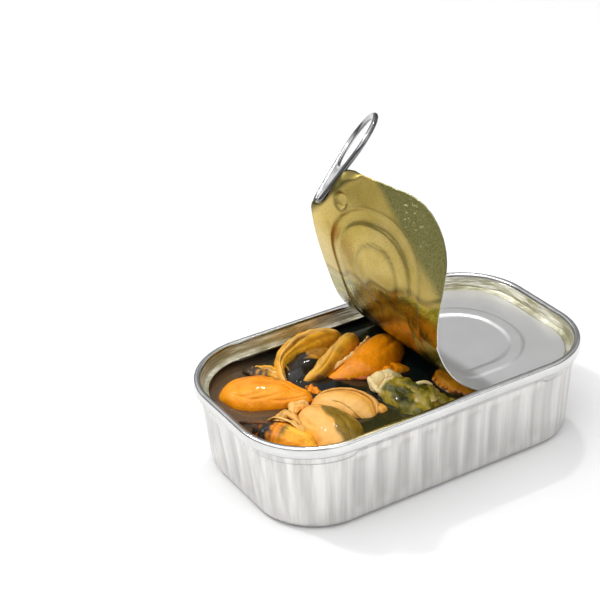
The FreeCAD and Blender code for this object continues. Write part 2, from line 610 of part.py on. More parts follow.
# each row: x, y, middle over the oil, half width, half height
MUSSELS = [
    ("mussel_plump", [dict(rows=[(-45.2, 15.0, -1.4, 3.2, 2.8), (-41.2, 13.2, -0.6, 6.2, 4.2), (-36.2, 9.8, -0.3, 7.2, 4.8),
                                 (-31, 5.2, -0.3, 5.6, 4.2), (-27, 1.8, -0.2, 3.3, 3.0), (-24.6, 0.2, -0.4, 2.0, 2.2)],
                           cleft=0.08, cleft_at=60)]),
    ("mussel_bright", [dict(rows=[(-16.4, 7.6, -1.4, 1.3, 1.4), (-11, 5.8, -0.9, 3.2, 3.2), (-5, 5.2, -0.2, 5.2, 4.6),
                                  (1.2, 7.4, 0.1, 6.2, 5.2), (6.6, 11.2, -0.1, 5.4, 4.8), (10.6, 14.6, -0.8, 3.2, 3.2)],
                            cleft=0.12, cleft_at=35)]),
    ("mussel_open", [dict(rows=[(-26.4, 9.8, -1.2, 1.4, 2.0), (-25.2, 14.2, -0.5, 1.9, 3.0), (-22.4, 19.0, 0.0, 2.4, 3.8),
                                (-17.2, 22.2, 0.4, 3.1, 4.4), (-11, 23.4, 0.5, 3.4, 4.6), (-5, 22.8, 0.2, 2.9, 4.2),
                                (-0.8, 21.2, -0.4, 1.8, 3.0)], cleft=0.08, cleft_at=60),
                     dict(rows=[(-22.6, 9.8, -1.6, 1.4, 2.0), (-17.6, 9.4, -0.8, 2.2, 3.0), (-12.6, 11.4, -0.1, 2.7, 3.9),
                                (-7.2, 14.2, 0.2, 3.0, 4.3), (-2.2, 17.0, 0.2, 3.0, 4.2), (2.2, 19.8, -0.5, 2.0, 3.0)],
                          cleft=0.0),
                     dict(rows=[(-25, 12.2, -2.6, 2.4, 2.6), (-20, 14.4, -2.2, 4.2, 3.2), (-13.5, 16.8, -1.8, 4.4, 3.4),
                                (-6, 19.0, -2.2, 2.8, 2.8)], cleft=0.0)]),
    ("mussel_peach", [dict(rows=[(-27, -1.6, -1.4, 2.2, 2.0), (-23, -4.0, -0.7, 4.2, 3.6), (-19.2, -7.4, -0.4, 5.0, 4.2),
                                 (-16.8, -11.8, -0.7, 4.8, 3.8), (-16.4, -16.4, -1.8, 2.8, 2.6)], cleft=0.12, cleft_at=120),
                      dict(rows=[(-15.4, -11.6, -1.2, 1.5, 1.6), (-12.9, -13.8, -0.8, 1.9, 2.0), (-11.6, -15.8, -1.4, 1.2, 1.4)],
                           cleft=0.0, rings=9)]),
    ("mussel_green", [dict(rows=[(-31.5, -4.2, -1.0, 3.6, 2.6), (-30, -8.4, -0.4, 5.8, 4.0), (-28.8, -14, -0.3, 6.6, 4.6),
                                 (-28.4, -20, -0.9, 6.6, 4.3), (-28.4, -25, -2.0, 4.6, 3.4)], cleft=0.08, cleft_at=100)]),
    ("mussel_striped", [dict(rows=[(-45.6, -2.4, -1.6, 1.6, 1.6), (-43.6, -6.2, -0.7, 3.6, 3.2), (-41, -10.8, -0.3, 4.6, 4.0),
                                   (-38.2, -16, -0.8, 4.2, 3.7), (-36, -20.6, -2.2, 2.6, 2.6)], cleft=0.12, cleft_at=90)]),
    ("mussel_olive", [dict(rows=[(-6.4, -4.4, -0.9, 3.0, 2.6), (-5, -8.4, -0.5, 4.9, 4.0), (-3.4, -13.6, -0.7, 6.0, 4.1),
                                 (-2.6, -19.4, -1.4, 6.0, 3.7), (-1.4, -24, -2.6, 3.6, 2.8)], cleft=0.16, cleft_at=80)]),
    ("mussel_slip", [dict(rows=[(-32.0, 21.4, -1.2, 1.4, 1.5), (-29.8, 20.4, -0.8, 2.6, 2.2), (-27.4, 17.6, -0.7, 2.8, 2.3),
                                (-26.2, 14.2, -0.8, 2.2, 2.0), (-26.2, 11.8, -1.2, 1.4, 1.6)], cleft=0.12, cleft_at=90)]),
    ("mussel_under", [dict(rows=[(13.5, -5.5, -2.0, 1.8, 1.8), (11, -10, -1.6, 3.4, 2.8), (10.5, -15.5, -1.6, 4.0, 2.9),
                                 (12, -20.5, -1.8, 3.4, 2.7), (14.5, -24, -2.4, 1.8, 1.8)], cleft=0.12, cleft_at=90)]),
    ("mussel_bit", [dict(rows=[(-3.4, -1.4, -1.0, 1.2, 1.2), (0.2, -0.4, -0.6, 2.1, 2.0), (3.8, -1.2, -0.7, 2.4, 2.0),
                               (6.2, -3.4, -1.2, 1.5, 1.4)], cleft=0.0)]),
    ("mussel_frill", [dict(rows=[(-22.6, 7.0, -1.4, 0.9, 1.2), (-22.6, 4.4, -0.7, 1.5, 1.7), (-21.4, 1.4, -0.8, 1.4, 1.5)],
                           cleft=0.0, rings=9)]),
]


def inner_solid(z0, z1, gap):
    """Inside of the tin between two heights, drawn in by gap."""
    step = cell("tinHeight") - cell("seamHigh") - cell("neckHigh")
    wires = []
    for z in (z0, z1):
        out = []
        for base, upper, n in (("baseLength", "tinLength", 2), ("baseWidth", "tinWidth", 2),
                               ("baseCorner", "rimCorner", 1)):
            u = cell(upper) - n * (cell("seamLap") + cell("neckStep"))
            out.append(cell(base) + (u - cell(base)) * z / step - n * (cell("wallThick") + gap))
        a, b, r = out[0] / 2, out[1] / 2, out[2]
        q = r * (1 - math.sqrt(0.5))
        P = lambda x, y: Vector(x, y, z)
        wires.append(Part.Wire([
            Part.LineSegment(P(r - a, -b), P(a - r, -b)).toShape(),
            Part.Arc(P(a - r, -b), P(a - q, q - b), P(a, r - b)).toShape(),
            Part.LineSegment(P(a, r - b), P(a, b - r)).toShape(),
            Part.Arc(P(a, b - r), P(a - q, b - q), P(a - r, b)).toShape(),
            Part.LineSegment(P(a - r, b), P(r - a, b)).toShape(),
            Part.Arc(P(r - a, b), P(q - a, b - q), P(-a, b - r)).toShape(),
            Part.LineSegment(P(-a, b - r), P(-a, r - b)).toShape(),
            Part.Arc(P(-a, r - b), P(q - a, q - b), P(r - a, -b)).toShape()]))
    return Part.makeLoft(wires, True, True)


ledge_low = cell("tinHeight") - cell("lidDepth") - cell("sheetThick")
space = inner_solid(cell("wallThick") + 1.5, ledge_low - 0.1, cell("musselWall"))
a, b = cell("tearLength") / 2, cell("tearWidth") / 2
inset = cell("tearGap") + cell("musselWall")
mouth = Part.makeBox(2 * (a - inset), 2 * (b - inset), cell("tinHeight") - OIL + 4,
                     Vector(inset - a, inset - b, OIL))
mouth = mouth.makeFillet(cell("tearCorner") - inset, [
    e for e in mouth.Edges if abs(e.BoundBox.ZMax - e.BoundBox.ZMin) > 4])
space = space.fuse(mouth)

placed_mussels = []
for name, lobes in MUSSELS:
    body = None
    for lobe in lobes:
        t = tube(**lobe)
        body = t if body is None else body.fuse(t)
    lo = body.BoundBox
    clear_x = min(cell("tinLength") / 2 - 6, cell("tearLength") / 2 - 2.1)
    clear_y = min(cell("tinWidth") / 2 - 6, cell("tearWidth") / 2 - 2.1)
    if max(-lo.XMin, lo.XMax) > clear_x or max(-lo.YMin, lo.YMax) > clear_y:
        body = body.common(space)
    for other in placed_mussels:
        if body.BoundBox.intersect(other.BoundBox):
            body = body.cut(other)
    solids = sorted(body.Solids, key=lambda q: -q.Volume)
    body = solids[0]
    placed_mussels.append(body)
    feature = doc.addObject("Part::Feature", name)
    feature.Label = name
    feature.Shape = body

oil_body = doc.addObject("PartDesign::Body", "OilFill")
OILZ = "(Sizes.tinHeight - Sizes.oilGap)"
fill = loft(oil_body, "Fill", rising(oil_body, "Fill", T) + [rounded(oil_body, "FillTop", OILZ, *inside(OILZ))])
doc.recompute()
oil_shape = oil_body.Shape
for m in placed_mussels:
    oil_shape = oil_shape.cut(m)
oil_solids = sorted(oil_shape.Solids, key=lambda q: -q.Volume)
oil = doc.addObject("Part::Feature", "oil")
oil.Label = "oil"
oil.Shape = oil_solids[0]
doc.recompute()

# ------------------------------------------------------------------ output
bad = [o.Name for o in doc.Objects if "Invalid" in o.State or "Error" in o.State]
if bad:
    raise RuntimeError("failed objects: " + ", ".join(bad))
names = ["tin_body", "lid_ring", "lid_panel", "pull_tab", "tab_rivet", "oil"] + [m[0] for m in MUSSELS]
os.makedirs("parts", exist_ok=True)
for name in names:
    obj = [o for o in doc.Objects if o.Label == name][0]
    shape = obj.Shape
    if shape.isNull() or not shape.isValid() or len(shape.Solids) != 1:
        print("PROBLEM", name, shape.isNull() or shape.isValid(), len(shape.Solids))
    b = shape.BoundBox
    print("%-16s vol %9.2f  x %.2f %.2f  y %.2f %.2f  z %.2f %.2f  solids %d valid %s" % (
        name, shape.Volume, b.XMin, b.XMax, b.YMin, b.YMax, b.ZMin, b.ZMax, len(shape.Solids), shape.isValid()))
for name in names:
    obj = [o for o in doc.Objects if o.Label == name][0]
    obj.Shape.exportStep("parts/%s.step" % name)
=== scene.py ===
# %% [markdown]
# # An open tin of mussels
# An oblong ring-pull tin stands on a pale floor. Its lid is torn from the left end and
# bent up like stiff paper, gold lacquer towards us, with the ring still on the raised
# corner. Inside, mussels lie in dark oil. The CAD model gives every place and size; here
# each piece gets its finish, and the soft and thin pieces get their real shape.

# %% Load the frame
from math import pi, radians

import bmesh
import bpy
import numpy as np
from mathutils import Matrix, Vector


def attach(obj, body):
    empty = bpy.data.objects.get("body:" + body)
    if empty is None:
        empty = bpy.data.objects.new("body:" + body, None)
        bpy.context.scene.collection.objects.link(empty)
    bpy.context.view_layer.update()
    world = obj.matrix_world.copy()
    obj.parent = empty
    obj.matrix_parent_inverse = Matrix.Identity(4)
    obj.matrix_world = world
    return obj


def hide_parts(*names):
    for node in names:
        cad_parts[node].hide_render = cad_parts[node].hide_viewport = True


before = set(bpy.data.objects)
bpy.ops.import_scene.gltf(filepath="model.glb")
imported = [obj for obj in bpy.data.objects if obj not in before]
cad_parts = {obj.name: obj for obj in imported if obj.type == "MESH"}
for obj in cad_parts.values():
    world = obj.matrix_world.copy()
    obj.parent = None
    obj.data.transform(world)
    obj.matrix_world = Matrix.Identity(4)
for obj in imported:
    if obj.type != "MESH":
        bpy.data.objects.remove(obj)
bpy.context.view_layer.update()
MM = 0.001

# %% [markdown]
# ## From a grid of points to a mesh
# Every new piece is a grid: a function of two numbers, worked out for the whole grid at
# once. The grid becomes quads, and points that fall together, at a pole or a seam, are
# welded so that the skin is closed. A second array, `tint`, can ride along with the
# points: four masks between 0 and 1 that the finish reads, such as "dark here".

# %% Grid helpers
def grid_quads(rows, cols, wrap=True, first=0):
    """Quads between each row and the next, and each column and the next; with wrap the last
    column meets the first."""
    i, j = np.meshgrid(np.arange(rows - 1), np.arange(cols if wrap else cols - 1), indexing="ij")
    a, b = i * cols + j, i * cols + (j + 1) % cols
    return first + np.stack([a, b, b + cols, a + cols], -1).reshape(-1, 4)


def piece(name, sheets, finishes, node):
    """A piece in place of a CAD node. Each sheet is (points[rows, cols, 3] in mm, tint or None,
    finish numbers per row or one number, wrap)."""
    points, quads, tints, marks, first = [], [], [], [], 0
    for grid, tint, mark, wrap in sheets:
        rows, cols = grid.shape[:2]
        q = grid_quads(rows, cols, wrap, first)
        points.append(grid.reshape(-1, 3))
        quads.append(q)
        tints.append(np.zeros((rows * cols, 4)) if tint is None else tint.reshape(-1, 4))
        per_row = np.broadcast_to(np.asarray(mark), (rows,))[:-1]
        marks.append(np.repeat(per_row, len(q) // (rows - 1)))
        first += rows * cols
    me = bpy.data.meshes.new(name)
    me.from_pydata(np.concatenate(points) * MM, [], np.concatenate(quads))
    layer = me.attributes.new("tint", "FLOAT_COLOR", "POINT")
    layer.data.foreach_set("color", np.concatenate(tints).astype(np.float32).ravel())
    me.polygons.foreach_set("material_index", np.concatenate(marks).astype(np.int32))
    me.polygons.foreach_set("use_smooth", np.ones(len(me.polygons), bool))
    for finish in finishes:
        me.materials.append(finish)
    bm = bmesh.new()
    bm.from_mesh(me)
    bmesh.ops.remove_doubles(bm, verts=bm.verts, dist=2e-7)
    bmesh.ops.dissolve_degenerate(bm, edges=bm.edges, dist=1e-8)
    bmesh.ops.recalc_face_normals(bm, faces=bm.faces)
    bm.to_mesh(me)
    bm.free()
    ob = bpy.data.objects.new(name, me)
    bpy.context.scene.collection.objects.link(ob)
    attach(ob, "root")
    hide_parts(node)
    print(name, len(me.vertices), "points", len(me.polygons), "faces")


def ease(v):
    """0 below 0, 1 above 1, soft at both ends."""
    v = np.clip(v, 0, 1)
    return v * v * (3 - 2 * v)


def bell(value, middle, width):
    """1 at the middle, falling off to both sides: e to the power of minus the square of the
    distance over the width."""
    return np.exp(-((value - middle) / width) ** 2)


def unit(v):
    """Arrows of length 1."""
    return v / np.linalg.norm(v, axis=-1, keepdims=True)


# %% [markdown]
# ## Camera, floor and light
# The camera stands to the front left, a little over half a metre away, and looks down by
# about a third of a right angle. The floor is white; a big soft light hangs over it, and
# darker walls of the room give the metal something to reflect.

# %% Camera
camera = bpy.data.objects.new("camera", bpy.data.cameras.new("camera"))
bpy.context.scene.collection.objects.link(camera)
camera.location = (-0.21376, -0.31149, 0.25211)
camera.rotation_euler = (radians(61.107), radians(1.825), radians(-31.870))
camera.data.lens = 97.51
camera.data.sensor_width = 36
camera.data.clip_start = 0.01
bpy.context.scene.camera = camera
bpy.context.scene.view_settings.view_transform = "Standard"
print("camera lens, mm:", camera.data.lens)


# %% [markdown]
# ## Writing a finish as sums
# A finish is a little network of nodes. The class `Sock` lets its numbers be added and
# multiplied like ordinary ones; every other node comes from `Finish.node`.

# %% Shader maths
class Sock:
    """A socket with arithmetic: each operator adds one Math node."""

    def __init__(self, finish, socket):
        self.finish, self.socket = finish, socket

    def _math(self, operation, a, b):
        return self.finish.node("ShaderNodeMath", {"operation": operation}, {0: a, 1: b})

    def __add__(self, other): return self._math("ADD", self, other)
    def __sub__(self, other): return self._math("SUBTRACT", self, other)
    def __mul__(self, other): return self._math("MULTIPLY", self, other)
    def __rsub__(self, other): return self._math("SUBTRACT", other, self)
    __radd__, __rmul__ = __add__, __mul__


class Network:
    """A tree of nodes that starts empty."""

    def __init__(self, tree):
        self.tree = tree
        tree.nodes.clear()

    def node(self, kind, settings, sockets, out=0):
        """One node: its settings first, then its sockets, each a value or a Sock."""
        n = self.tree.nodes.new(kind)
        for key, value in settings.items():
            if key == "stops":
                ramp = n.color_ramp.elements
                while len(ramp) < len(value):
                    ramp.new(0.5)
                for element, (at, colour) in zip(ramp, value):
                    element.position, element.color = at, (*colour, 1)
            else:
                setattr(n, key, value)
        for key, value in sockets.items():
            if isinstance(value, Sock):
                self.tree.links.new(value.socket, n.inputs[key])
            else:
                n.inputs[key].default_value = value
        return Sock(self, n.outputs[out])


class Finish(Network):
    """A material with one Principled shader; an underscore in a constant's name is a space."""

    def __init__(self, name, **constants):
        self.material = bpy.data.materials.new(name)
        self.material.use_nodes = True
        super().__init__(self.material.node_tree)
        self.shader = self.tree.nodes.new("ShaderNodeBsdfPrincipled")
        output = self.tree.nodes.new("ShaderNodeOutputMaterial")
        self.tree.links.new(self.shader.outputs[0], output.inputs[0])
        self.set(**{k.replace("_", " "): v for k, v in constants.items()})
        self.place = self.node("ShaderNodeTexCoord", {}, {}, "Object")

    def set(self, **inputs):
        """Sockets of the Principled shader, each a Sock, a number or a colour."""
        for key, value in inputs.items():
            if isinstance(value, Sock):
                self.tree.links.new(value.socket, self.shader.inputs[key])
            else:
                value = (*value, 1) if key == "Base Color" else value
                self.shader.inputs[key].default_value = value

    def noise(self, scale, detail=3, rough=0.5, stretch=(1, 1, 1), warp=0.0):
        """Cloudy noise between 0 and 1; scale is in cells per metre."""
        at = self.node("ShaderNodeMapping", {}, {"Vector": self.place, "Scale": stretch})
        return self.node("ShaderNodeTexNoise", {}, {"Vector": at, "Scale": scale, "Detail": detail,
                                                    "Roughness": rough, "Distortion": warp})

    def span(self, value, low, high):
        """value eased from 0 at low to 1 at high."""
        return self.node("ShaderNodeMapRange", {"interpolation_type": "SMOOTHSTEP"},
                         {"Value": value, "From Min": low, "From Max": high})

    def mix(self, a, b, share):
        """Colour a turning into colour b as share goes from 0 to 1."""
        full = lambda c: (*c, 1) if isinstance(c, tuple) else c
        return self.node("ShaderNodeMix", {"data_type": "RGBA"}, {0: share, 6: full(a), 7: full(b)}, 2)

    def bump(self, height, distance):
        """Fine relief, distance in metres."""
        self.set(Normal=self.node("ShaderNodeBump", {}, {"Height": height, "Distance": distance}))

    def along(self, axis):
        """The place along axis 0, 1 or 2, in metres."""
        return self.node("ShaderNodeSeparateXYZ", {}, {0: self.place}, axis)

    def tint(self):
        """The four masks that ride with the points."""
        a = self.node("ShaderNodeAttribute", {"attribute_name": "tint"}, {}, "Color")
        masks = [self.node("ShaderNodeSeparateColor", {}, {0: a}, i) for i in range(3)]
        masks.append(self.node("ShaderNodeAttribute", {"attribute_name": "tint"}, {}, "Alpha"))
        return masks


# %% [markdown]
# The floor is one large square, white and a little glossy. It only stages the tin.

# %% Floor
floor_finish = Finish("floor_white", Roughness=0.30)
floor_finish.set(**{"Base Color": (0.93, 0.93, 0.93), "Specular IOR Level": 0.35})
me = bpy.data.meshes.new("floor")
me.from_pydata([(-6, -6, 0), (6, -6, 0), (6, 6, 0), (-6, 6, 0)], [], [(0, 1, 2, 3)])
me.materials.append(floor_finish.material)
floor = bpy.data.objects.new("floor", me)
bpy.context.scene.collection.objects.link(floor)
print("floor, m:", tuple(floor.dimensions))

# %% [markdown]
# The metal shows whatever surrounds it, so the room is painted rather than left plain:
# grey by the way's slope, brighter towards the ceiling, and patchy. What the camera sees
# behind the tin is plain white. Two large soft boxes give the shadow its soft edge, and
# two small ones the sparks on wet flesh.

# %% The room
world = bpy.data.worlds.new("studio")
bpy.context.scene.world = world
world.use_nodes = True
room = Network(world.node_tree)
way = room.node("ShaderNodeTexCoord", {}, {}, "Generated")
slope = room.node("ShaderNodeSeparateXYZ", {}, {0: way}, 2)
GREYS = ((0.0, 0.40), (0.04, 0.07), (0.14, 0.12), (0.32, 0.40), (0.56, 0.80))
stops = [(at, (grey, grey, grey * 1.01)) for at, grey in GREYS] + [(1.0, (1, 1, 1))]
sky = room.node("ShaderNodeValToRGB", {"stops": stops}, {0: slope})
patches = room.node("ShaderNodeTexNoise", {}, {"Vector": way, "Scale": 2.6, "Detail": 1.0})
patches = room.node("ShaderNodeMapRange", {}, {"Value": patches, "From Min": 0.38, "From Max": 0.62,
                                               "To Min": 0.35, "To Max": 1.15})
patchy = room.node("ShaderNodeVectorMath", {"operation": "SCALE"}, {0: sky, "Scale": patches})
dim = room.node("ShaderNodeBackground", {}, {"Color": patchy})
white = room.node("ShaderNodeBackground", {}, {"Color": (1, 1, 1, 1), "Strength": 1.6})
seen = room.node("ShaderNodeLightPath", {}, {}, "Is Camera Ray")
both = room.node("ShaderNodeMixShader", {}, {0: seen, 1: dim, 2: white})
room.tree.links.new(both.socket, room.tree.nodes.new("ShaderNodeOutputWorld").inputs[0])
print("nodes in the room:", len(room.tree.nodes))


# %% Lights
def soft_light(name, at, aim, wide, high, watts):
    """A soft box at a point, in metres, turned to look at a height over the tin's middle."""
    lamp = bpy.data.lights.new(name, "AREA")
    lamp.shape, lamp.size, lamp.size_y, lamp.energy = "RECTANGLE", wide, high, watts
    ob = bpy.data.objects.new(name, lamp)
    bpy.context.scene.collection.objects.link(ob)
    ob.location = at
    ob.rotation_euler = Vector(np.array([0, 0, aim]) - at).to_track_quat("-Z", "Y").to_euler()
    print(name, "light,", watts, "W")


soft_light("key", (-0.42, 0.0, 1.05), 0.02, 1.4, 1.4, 8.2)
soft_light("front", (0.25, -0.95, 0.55), 0.03, 0.8, 0.4, 1.6)
soft_light("spark", (-0.42, 0.52, 0.80), 0.02, 0.06, 0.06, 2.6)
soft_light("second_spark", (0.30, 0.42, 0.95), 0.02, 0.05, 0.05, 1.6)

# %% [markdown]
# ## Finishes of the metal
# The wall is drawn aluminium: fine grain runs up and down it. The lid's outside is satin,
# its inside has a gold lacquer, and the pull is bright. Pictures could be wrapped round
# them; stretched noise is used, because it has no edge and stays sharp at any size.

# %% Metal finishes
can = Finish("can_metal", Metallic=1.0, Anisotropic=0.3)
grain = can.noise(1, 4, 0.6, (2600, 2600, 90))
broad = can.noise(1, 3, 0.55, (430, 430, 16))
flute_reflection_mask, foot_mask, groove_shade_mask, _ = can.tint()
drawn = can.mix((0.50, 0.49, 0.475), (0.86, 0.845, 0.82), can.span(broad, 0.3, 0.7) * 0.6 + grain * 0.4)
# painted reflection: darker stripes on the flutes; also darker towards the foot
drawn = can.mix(drawn, (0.48, 0.47, 0.455), flute_reflection_mask * 0.42 + foot_mask * 0.3)
# painted shade: dark in the step's groove and on the neck under the seam
drawn = can.mix(drawn, (0.16, 0.155, 0.15), groove_shade_mask)
can.set(**{"Base Color": drawn, "Roughness": grain * 0.16 + 0.26})
can.bump(grain * 0.6 + broad * 0.8, 0.00006)

rim = Finish("rim_metal", Metallic=1.0)
rim_marks = rim.noise(420, 3, 0.6)
rim_streak = rim.noise(1, 3, 0.6, (160, 160, 900))
rim_edge_shade, *_ = rim.tint()
bright = rim.mix((0.58, 0.58, 0.57), (0.88, 0.88, 0.87), rim_streak * 0.7 + rim_marks * 0.3)
# painted shade: the mask darkens the seam's edges
rim.set(**{"Base Color": rim.mix(bright, (0.13, 0.125, 0.12), rim_edge_shade),
        "Roughness": rim_marks * 0.14 + 0.12})
rim.bump(rim_streak, 0.00004)

# painted reflection: warm olive and cream streaks stand for the gold flap mirrored in the chuck wall
chuck = Finish("chuck_wall", Metallic=0.72)
streak_noise = chuck.noise(1, 3, 0.6, (90, 90, 700))
painted_reflection_streaks = chuck.span(streak_noise, 0.35, 0.65)
chuck.set(**{"Base Color": chuck.mix((0.42, 0.40, 0.25), (0.95, 0.93, 0.82), painted_reflection_streaks),
        "Roughness": streak_noise * 0.25 + 0.24})
chuck.bump(streak_noise, 0.0012)

satin = Finish("lid_satin", Metallic=1.0)
speck = satin.noise(1800, 3, 0.7)
cloud = satin.noise(70, 3, 0.6)
satin.set(**{"Base Color": satin.mix((0.60, 0.60, 0.60), (0.76, 0.76, 0.755), cloud * 0.7 + speck * 0.3),
             "Roughness": speck * 0.16 + 0.34})
satin.bump(speck, 0.00004)

gold = Finish("gold_lacquer", Metallic=1.0)
shade_mask, film_mask, line_and_shade_mask, scratch_mask = gold.tint()
wet = gold.noise(60, 3, 0.6)
fine = gold.noise(2100, 2, 0.6)
drip = gold.noise(170, 4, 0.65, warp=0.8)
tone = gold.mix((0.50, 0.37, 0.085), (0.64, 0.49, 0.17), gold.span(wet, 0.35, 0.7))
tone = gold.mix(tone, (0.40, 0.30, 0.075), gold.span(fine, 0.48, 0.72) * 0.55)
tone = gold.mix(tone, gold.mix((0.245, 0.235, 0.085), (0.17, 0.165, 0.055),
        gold.span(fine, 0.45, 0.6)), shade_mask)
tone = gold.mix(tone, gold.mix((0.36, 0.30, 0.030), (0.18, 0.15, 0.012),
        gold.span(drip, 0.4, 0.6)), film_mask)
# dark line along the film's edge; painted shade at the pattern's feet and in the curl's inside
tone = gold.mix(tone, (0.16, 0.13, 0.04), line_and_shade_mask)
scratches = gold.span(gold.noise(1, 3, 0.6, (1500, 520, 950), 0.6), 0.62, 0.65) * scratch_mask
gold.set(**{"Base Color": gold.mix(tone, (0.95, 0.88, 0.58), scratches),
            "Roughness": fine * 0.16 + wet * 0.08 + 0.24 - film_mask * 0.16})
gold.bump(wet * 0.5 + fine * 0.10 + drip * film_mask * 0.25 + line_and_shade_mask * 0.4, 0.0005)

pull_finish = Finish("pull_bright", Metallic=1.0)
scuff = pull_finish.noise(700, 3, 0.6)
shadow_line, *_ = pull_finish.tint()
plated = pull_finish.mix((0.50, 0.50, 0.52), (0.72, 0.71, 0.70), scuff)
pull_finish.set(**{"Base Color": pull_finish.mix(plated, (0.06, 0.06, 0.07), shadow_line),
        "Roughness": scuff * 0.16 + 0.07})
pull_finish.bump(scuff, 0.00005)

# %% [markdown]
# ## The tin
# The outline at every height is a rounded oblong. A sample on it has a place on the
# inner straight-sided core and a direction outwards, so that an oblong of any half
# sizes a, b and corner r is: core times (a - r, b - r), plus r times the direction.

# %% Oblong outlines
def oblong_samples(long=110, short=56, arc=30):
    """Samples once round. Columns: 0, 1 core place; 2, 3 outward direction; 4 how far along a
    straight side (-1..1); 5 corner mask; 6 kind: 0 long side, 1 short side, 2 corner."""
    parts = []
    for k, (n, side) in enumerate(((long, (0, -1)), (short, (1, 0)), (long, (0, 1)), (short, (-1, 0)))):
        t = np.linspace(-1, 1, n, endpoint=False)
        run = np.stack([(-side[1]) * t + side[0], side[0] * t + side[1]], -1)
        parts.append(np.c_[run, np.tile(side, (n, 1)), t, np.zeros(n), np.full(n, k % 2)])
        a = np.radians(-90 + 90 * k + 90 * np.linspace(0, 1, arc, endpoint=False))
        corner = np.array([[1, -1], [1, 1], [-1, 1], [-1, -1]])[k]
        parts.append(np.c_[np.tile(corner, (arc, 1)), np.cos(a), np.sin(a), np.ones(arc), np.ones(arc),
                np.full(arc, 2)])
    return np.concatenate(parts)


RING = oblong_samples()


def oblong(a, b, r, z, samples=RING):
    """Rows of rounded oblongs: core * (a - r, b - r) + r * direction, each row at its height z."""
    a, b, r, z = (np.asarray(v, float).reshape(-1, 1) for v in (a, b, r, z))
    x = samples[:, 0] * (a - r) + samples[:, 2] * r
    y = samples[:, 1] * (b - r) + samples[:, 3] * r
    return np.stack([x, y, np.broadcast_to(z, x.shape)], -1)


HIGH, STEP, WALL_TOP, WALL = 27.0, 22.2, 23.8, 0.3
LONG, WIDE, CORNER = 52.5, 30.2, 21.0


WALL_FOOT, WALL_STEP, HEEL = (48.2, 27.8, 17.4), (50.9, 28.6, 19.4), 2.5


def wall_size(z, sink):
    """Half length, half width and corner of the leaning wall at height z, sink mm inside its
    skin: the foot's, plus the share z / STEP of the way to the step's, less sink."""
    return [foot + (step - foot) * (z / STEP) - sink for foot, step in zip(WALL_FOOT, WALL_STEP)]


def tin_skin(sink):
    """Half lengths, widths, corners and heights of the wall from the middle of the bottom,
    round the heel's quarter circle, up to the neck."""
    ang = np.linspace(0, pi / 2, 10)
    z = np.r_[sink + (HEEL - sink) * (1 - np.cos(ang)), np.linspace(3.2, STEP - 0.3, 26)]
    fall = np.r_[(HEEL - sink) * (1 - np.sin(ang)), np.zeros(26)]
    bottom = np.array([0.0, 0.35, 0.7, 0.9, 0.985])
    neck = np.array([0.0, 0.06, 0.2, 0.34, 0.4, 0.4, 0.4])
    neck_z = STEP + np.array([-0.1, 0, 0.12, 0.28, 0.45, WALL_TOP - STEP - 0.4, WALL_TOP - STEP])
    sizes = [np.r_[low[0] * bottom, low, step - sink + neck]
             for low, step in zip(wall_size(z, sink + fall), WALL_STEP)]
    return (*sizes, np.r_[np.full(len(bottom), z[0]), z, neck_z])


# %% [markdown]
# The straight sides carry shallow upright flutes, about 7 mm apart, which fade out near
# the bottom, the neck and the corners; the corners are plain. The step under the seam
# dips a little round each corner.

# %% The tin's wall
def flutes(P, samples, depth=0.28, pitch=7.1):
    """Inward relief: a flat-topped wave along each straight side, times soft ends."""
    straight = samples[:, 5] < 0.5
    along = np.where(samples[:, 3] != 0, P[..., 0], P[..., 1])
    half = np.where(samples[:, 6] == 0, 32.0, 10.0)
    wave = 0.5 + 0.5 * np.tanh(1.1 * np.cos(2 * pi * along / pitch)) / np.tanh(1.1)
    fade = ease((half - np.abs(along)) / 3.0 + 0.6) * ease((P[..., 2] - 3.0) / 3.0)
    fade = fade * ease((STEP - 1.5 - P[..., 2]) / 2.0)
    return np.where(straight, depth * wave * fade, 0.0)


def fluted(P):
    """Rows of the oblong moved inwards by the flutes."""
    d = flutes(P, RING)
    return P - np.stack([RING[:, 2] * d, RING[:, 3] * d, 0 * d], -1)


def corner_dip(z):
    """How far the wall at height z dips: most at the step, and round the corners alone."""
    corner = ease(np.where(RING[:, 5] > 0.5, 1.0, 1 - (1 - np.abs(RING[:, 4])) / 0.08))
    return 0.9 * corner * (ease((z - (STEP - 3)) / 2.5) * ease(WALL_TOP + 0.1 - z))


def tin_rows(sink):
    """The whole skin, sink mm inside the outer one."""
    P = fluted(oblong(*tin_skin(sink)))
    P[..., 2] -= corner_dip(P[..., 2])
    return P


outside, inside_wall = tin_rows(0.0), tin_rows(WALL)
wall_rows = np.concatenate([outside, inside_wall[::-1]])
wall_z = wall_rows[..., 2]
# painted shade in the step's groove and on the neck under the seam's overhang
groove = 0.45 * bell(wall_z + corner_dip(wall_z), STEP + 0.25, 0.16) + 0.5 * ease((wall_z - 23.1) / 0.5)
# first mask: painted reflection stripes on the flutes
wall_tint = np.stack([flutes(wall_rows, RING, 1.0), ease((9 - wall_z) / 9), groove, 0 * wall_z], -1)
piece("tin_wall", [(wall_rows, wall_tint, 0, True)], [can.material], "tin_body")

# %% [markdown]
# ## The seam, the chuck wall and the ledge
# The lid was joined to the wall by a rolled double seam. Inside it a steep wall drops
# 4 mm to the ledge that stays behind outside the torn score line. One closed profile of
# insets and heights is carried round the oblong.

# %% The lid's ring
def rounded_profile(corners, radii, steps=6):
    """A closed polygon of (inset, height) with each corner replaced by an arc-like curve: the
    Bezier curve whose ends lie radius away from the corner."""
    c = np.array(corners, float)
    before, after = np.roll(c, 1, 0) - c, np.roll(c, -1, 0) - c
    room_left = 0.48 * np.minimum(np.linalg.norm(before, axis=1), np.linalg.norm(after, axis=1))
    r = np.minimum(np.array(radii, float), room_left)[:, None]
    p, q = c + unit(before) * r, c + unit(after) * r
    t = np.linspace(0, 1, steps)[None, :, None]
    return ((1 - t) ** 2 * p[:, None] + 2 * t * (1 - t) * c[:, None] + t * t * q[:, None]).reshape(-1, 2)


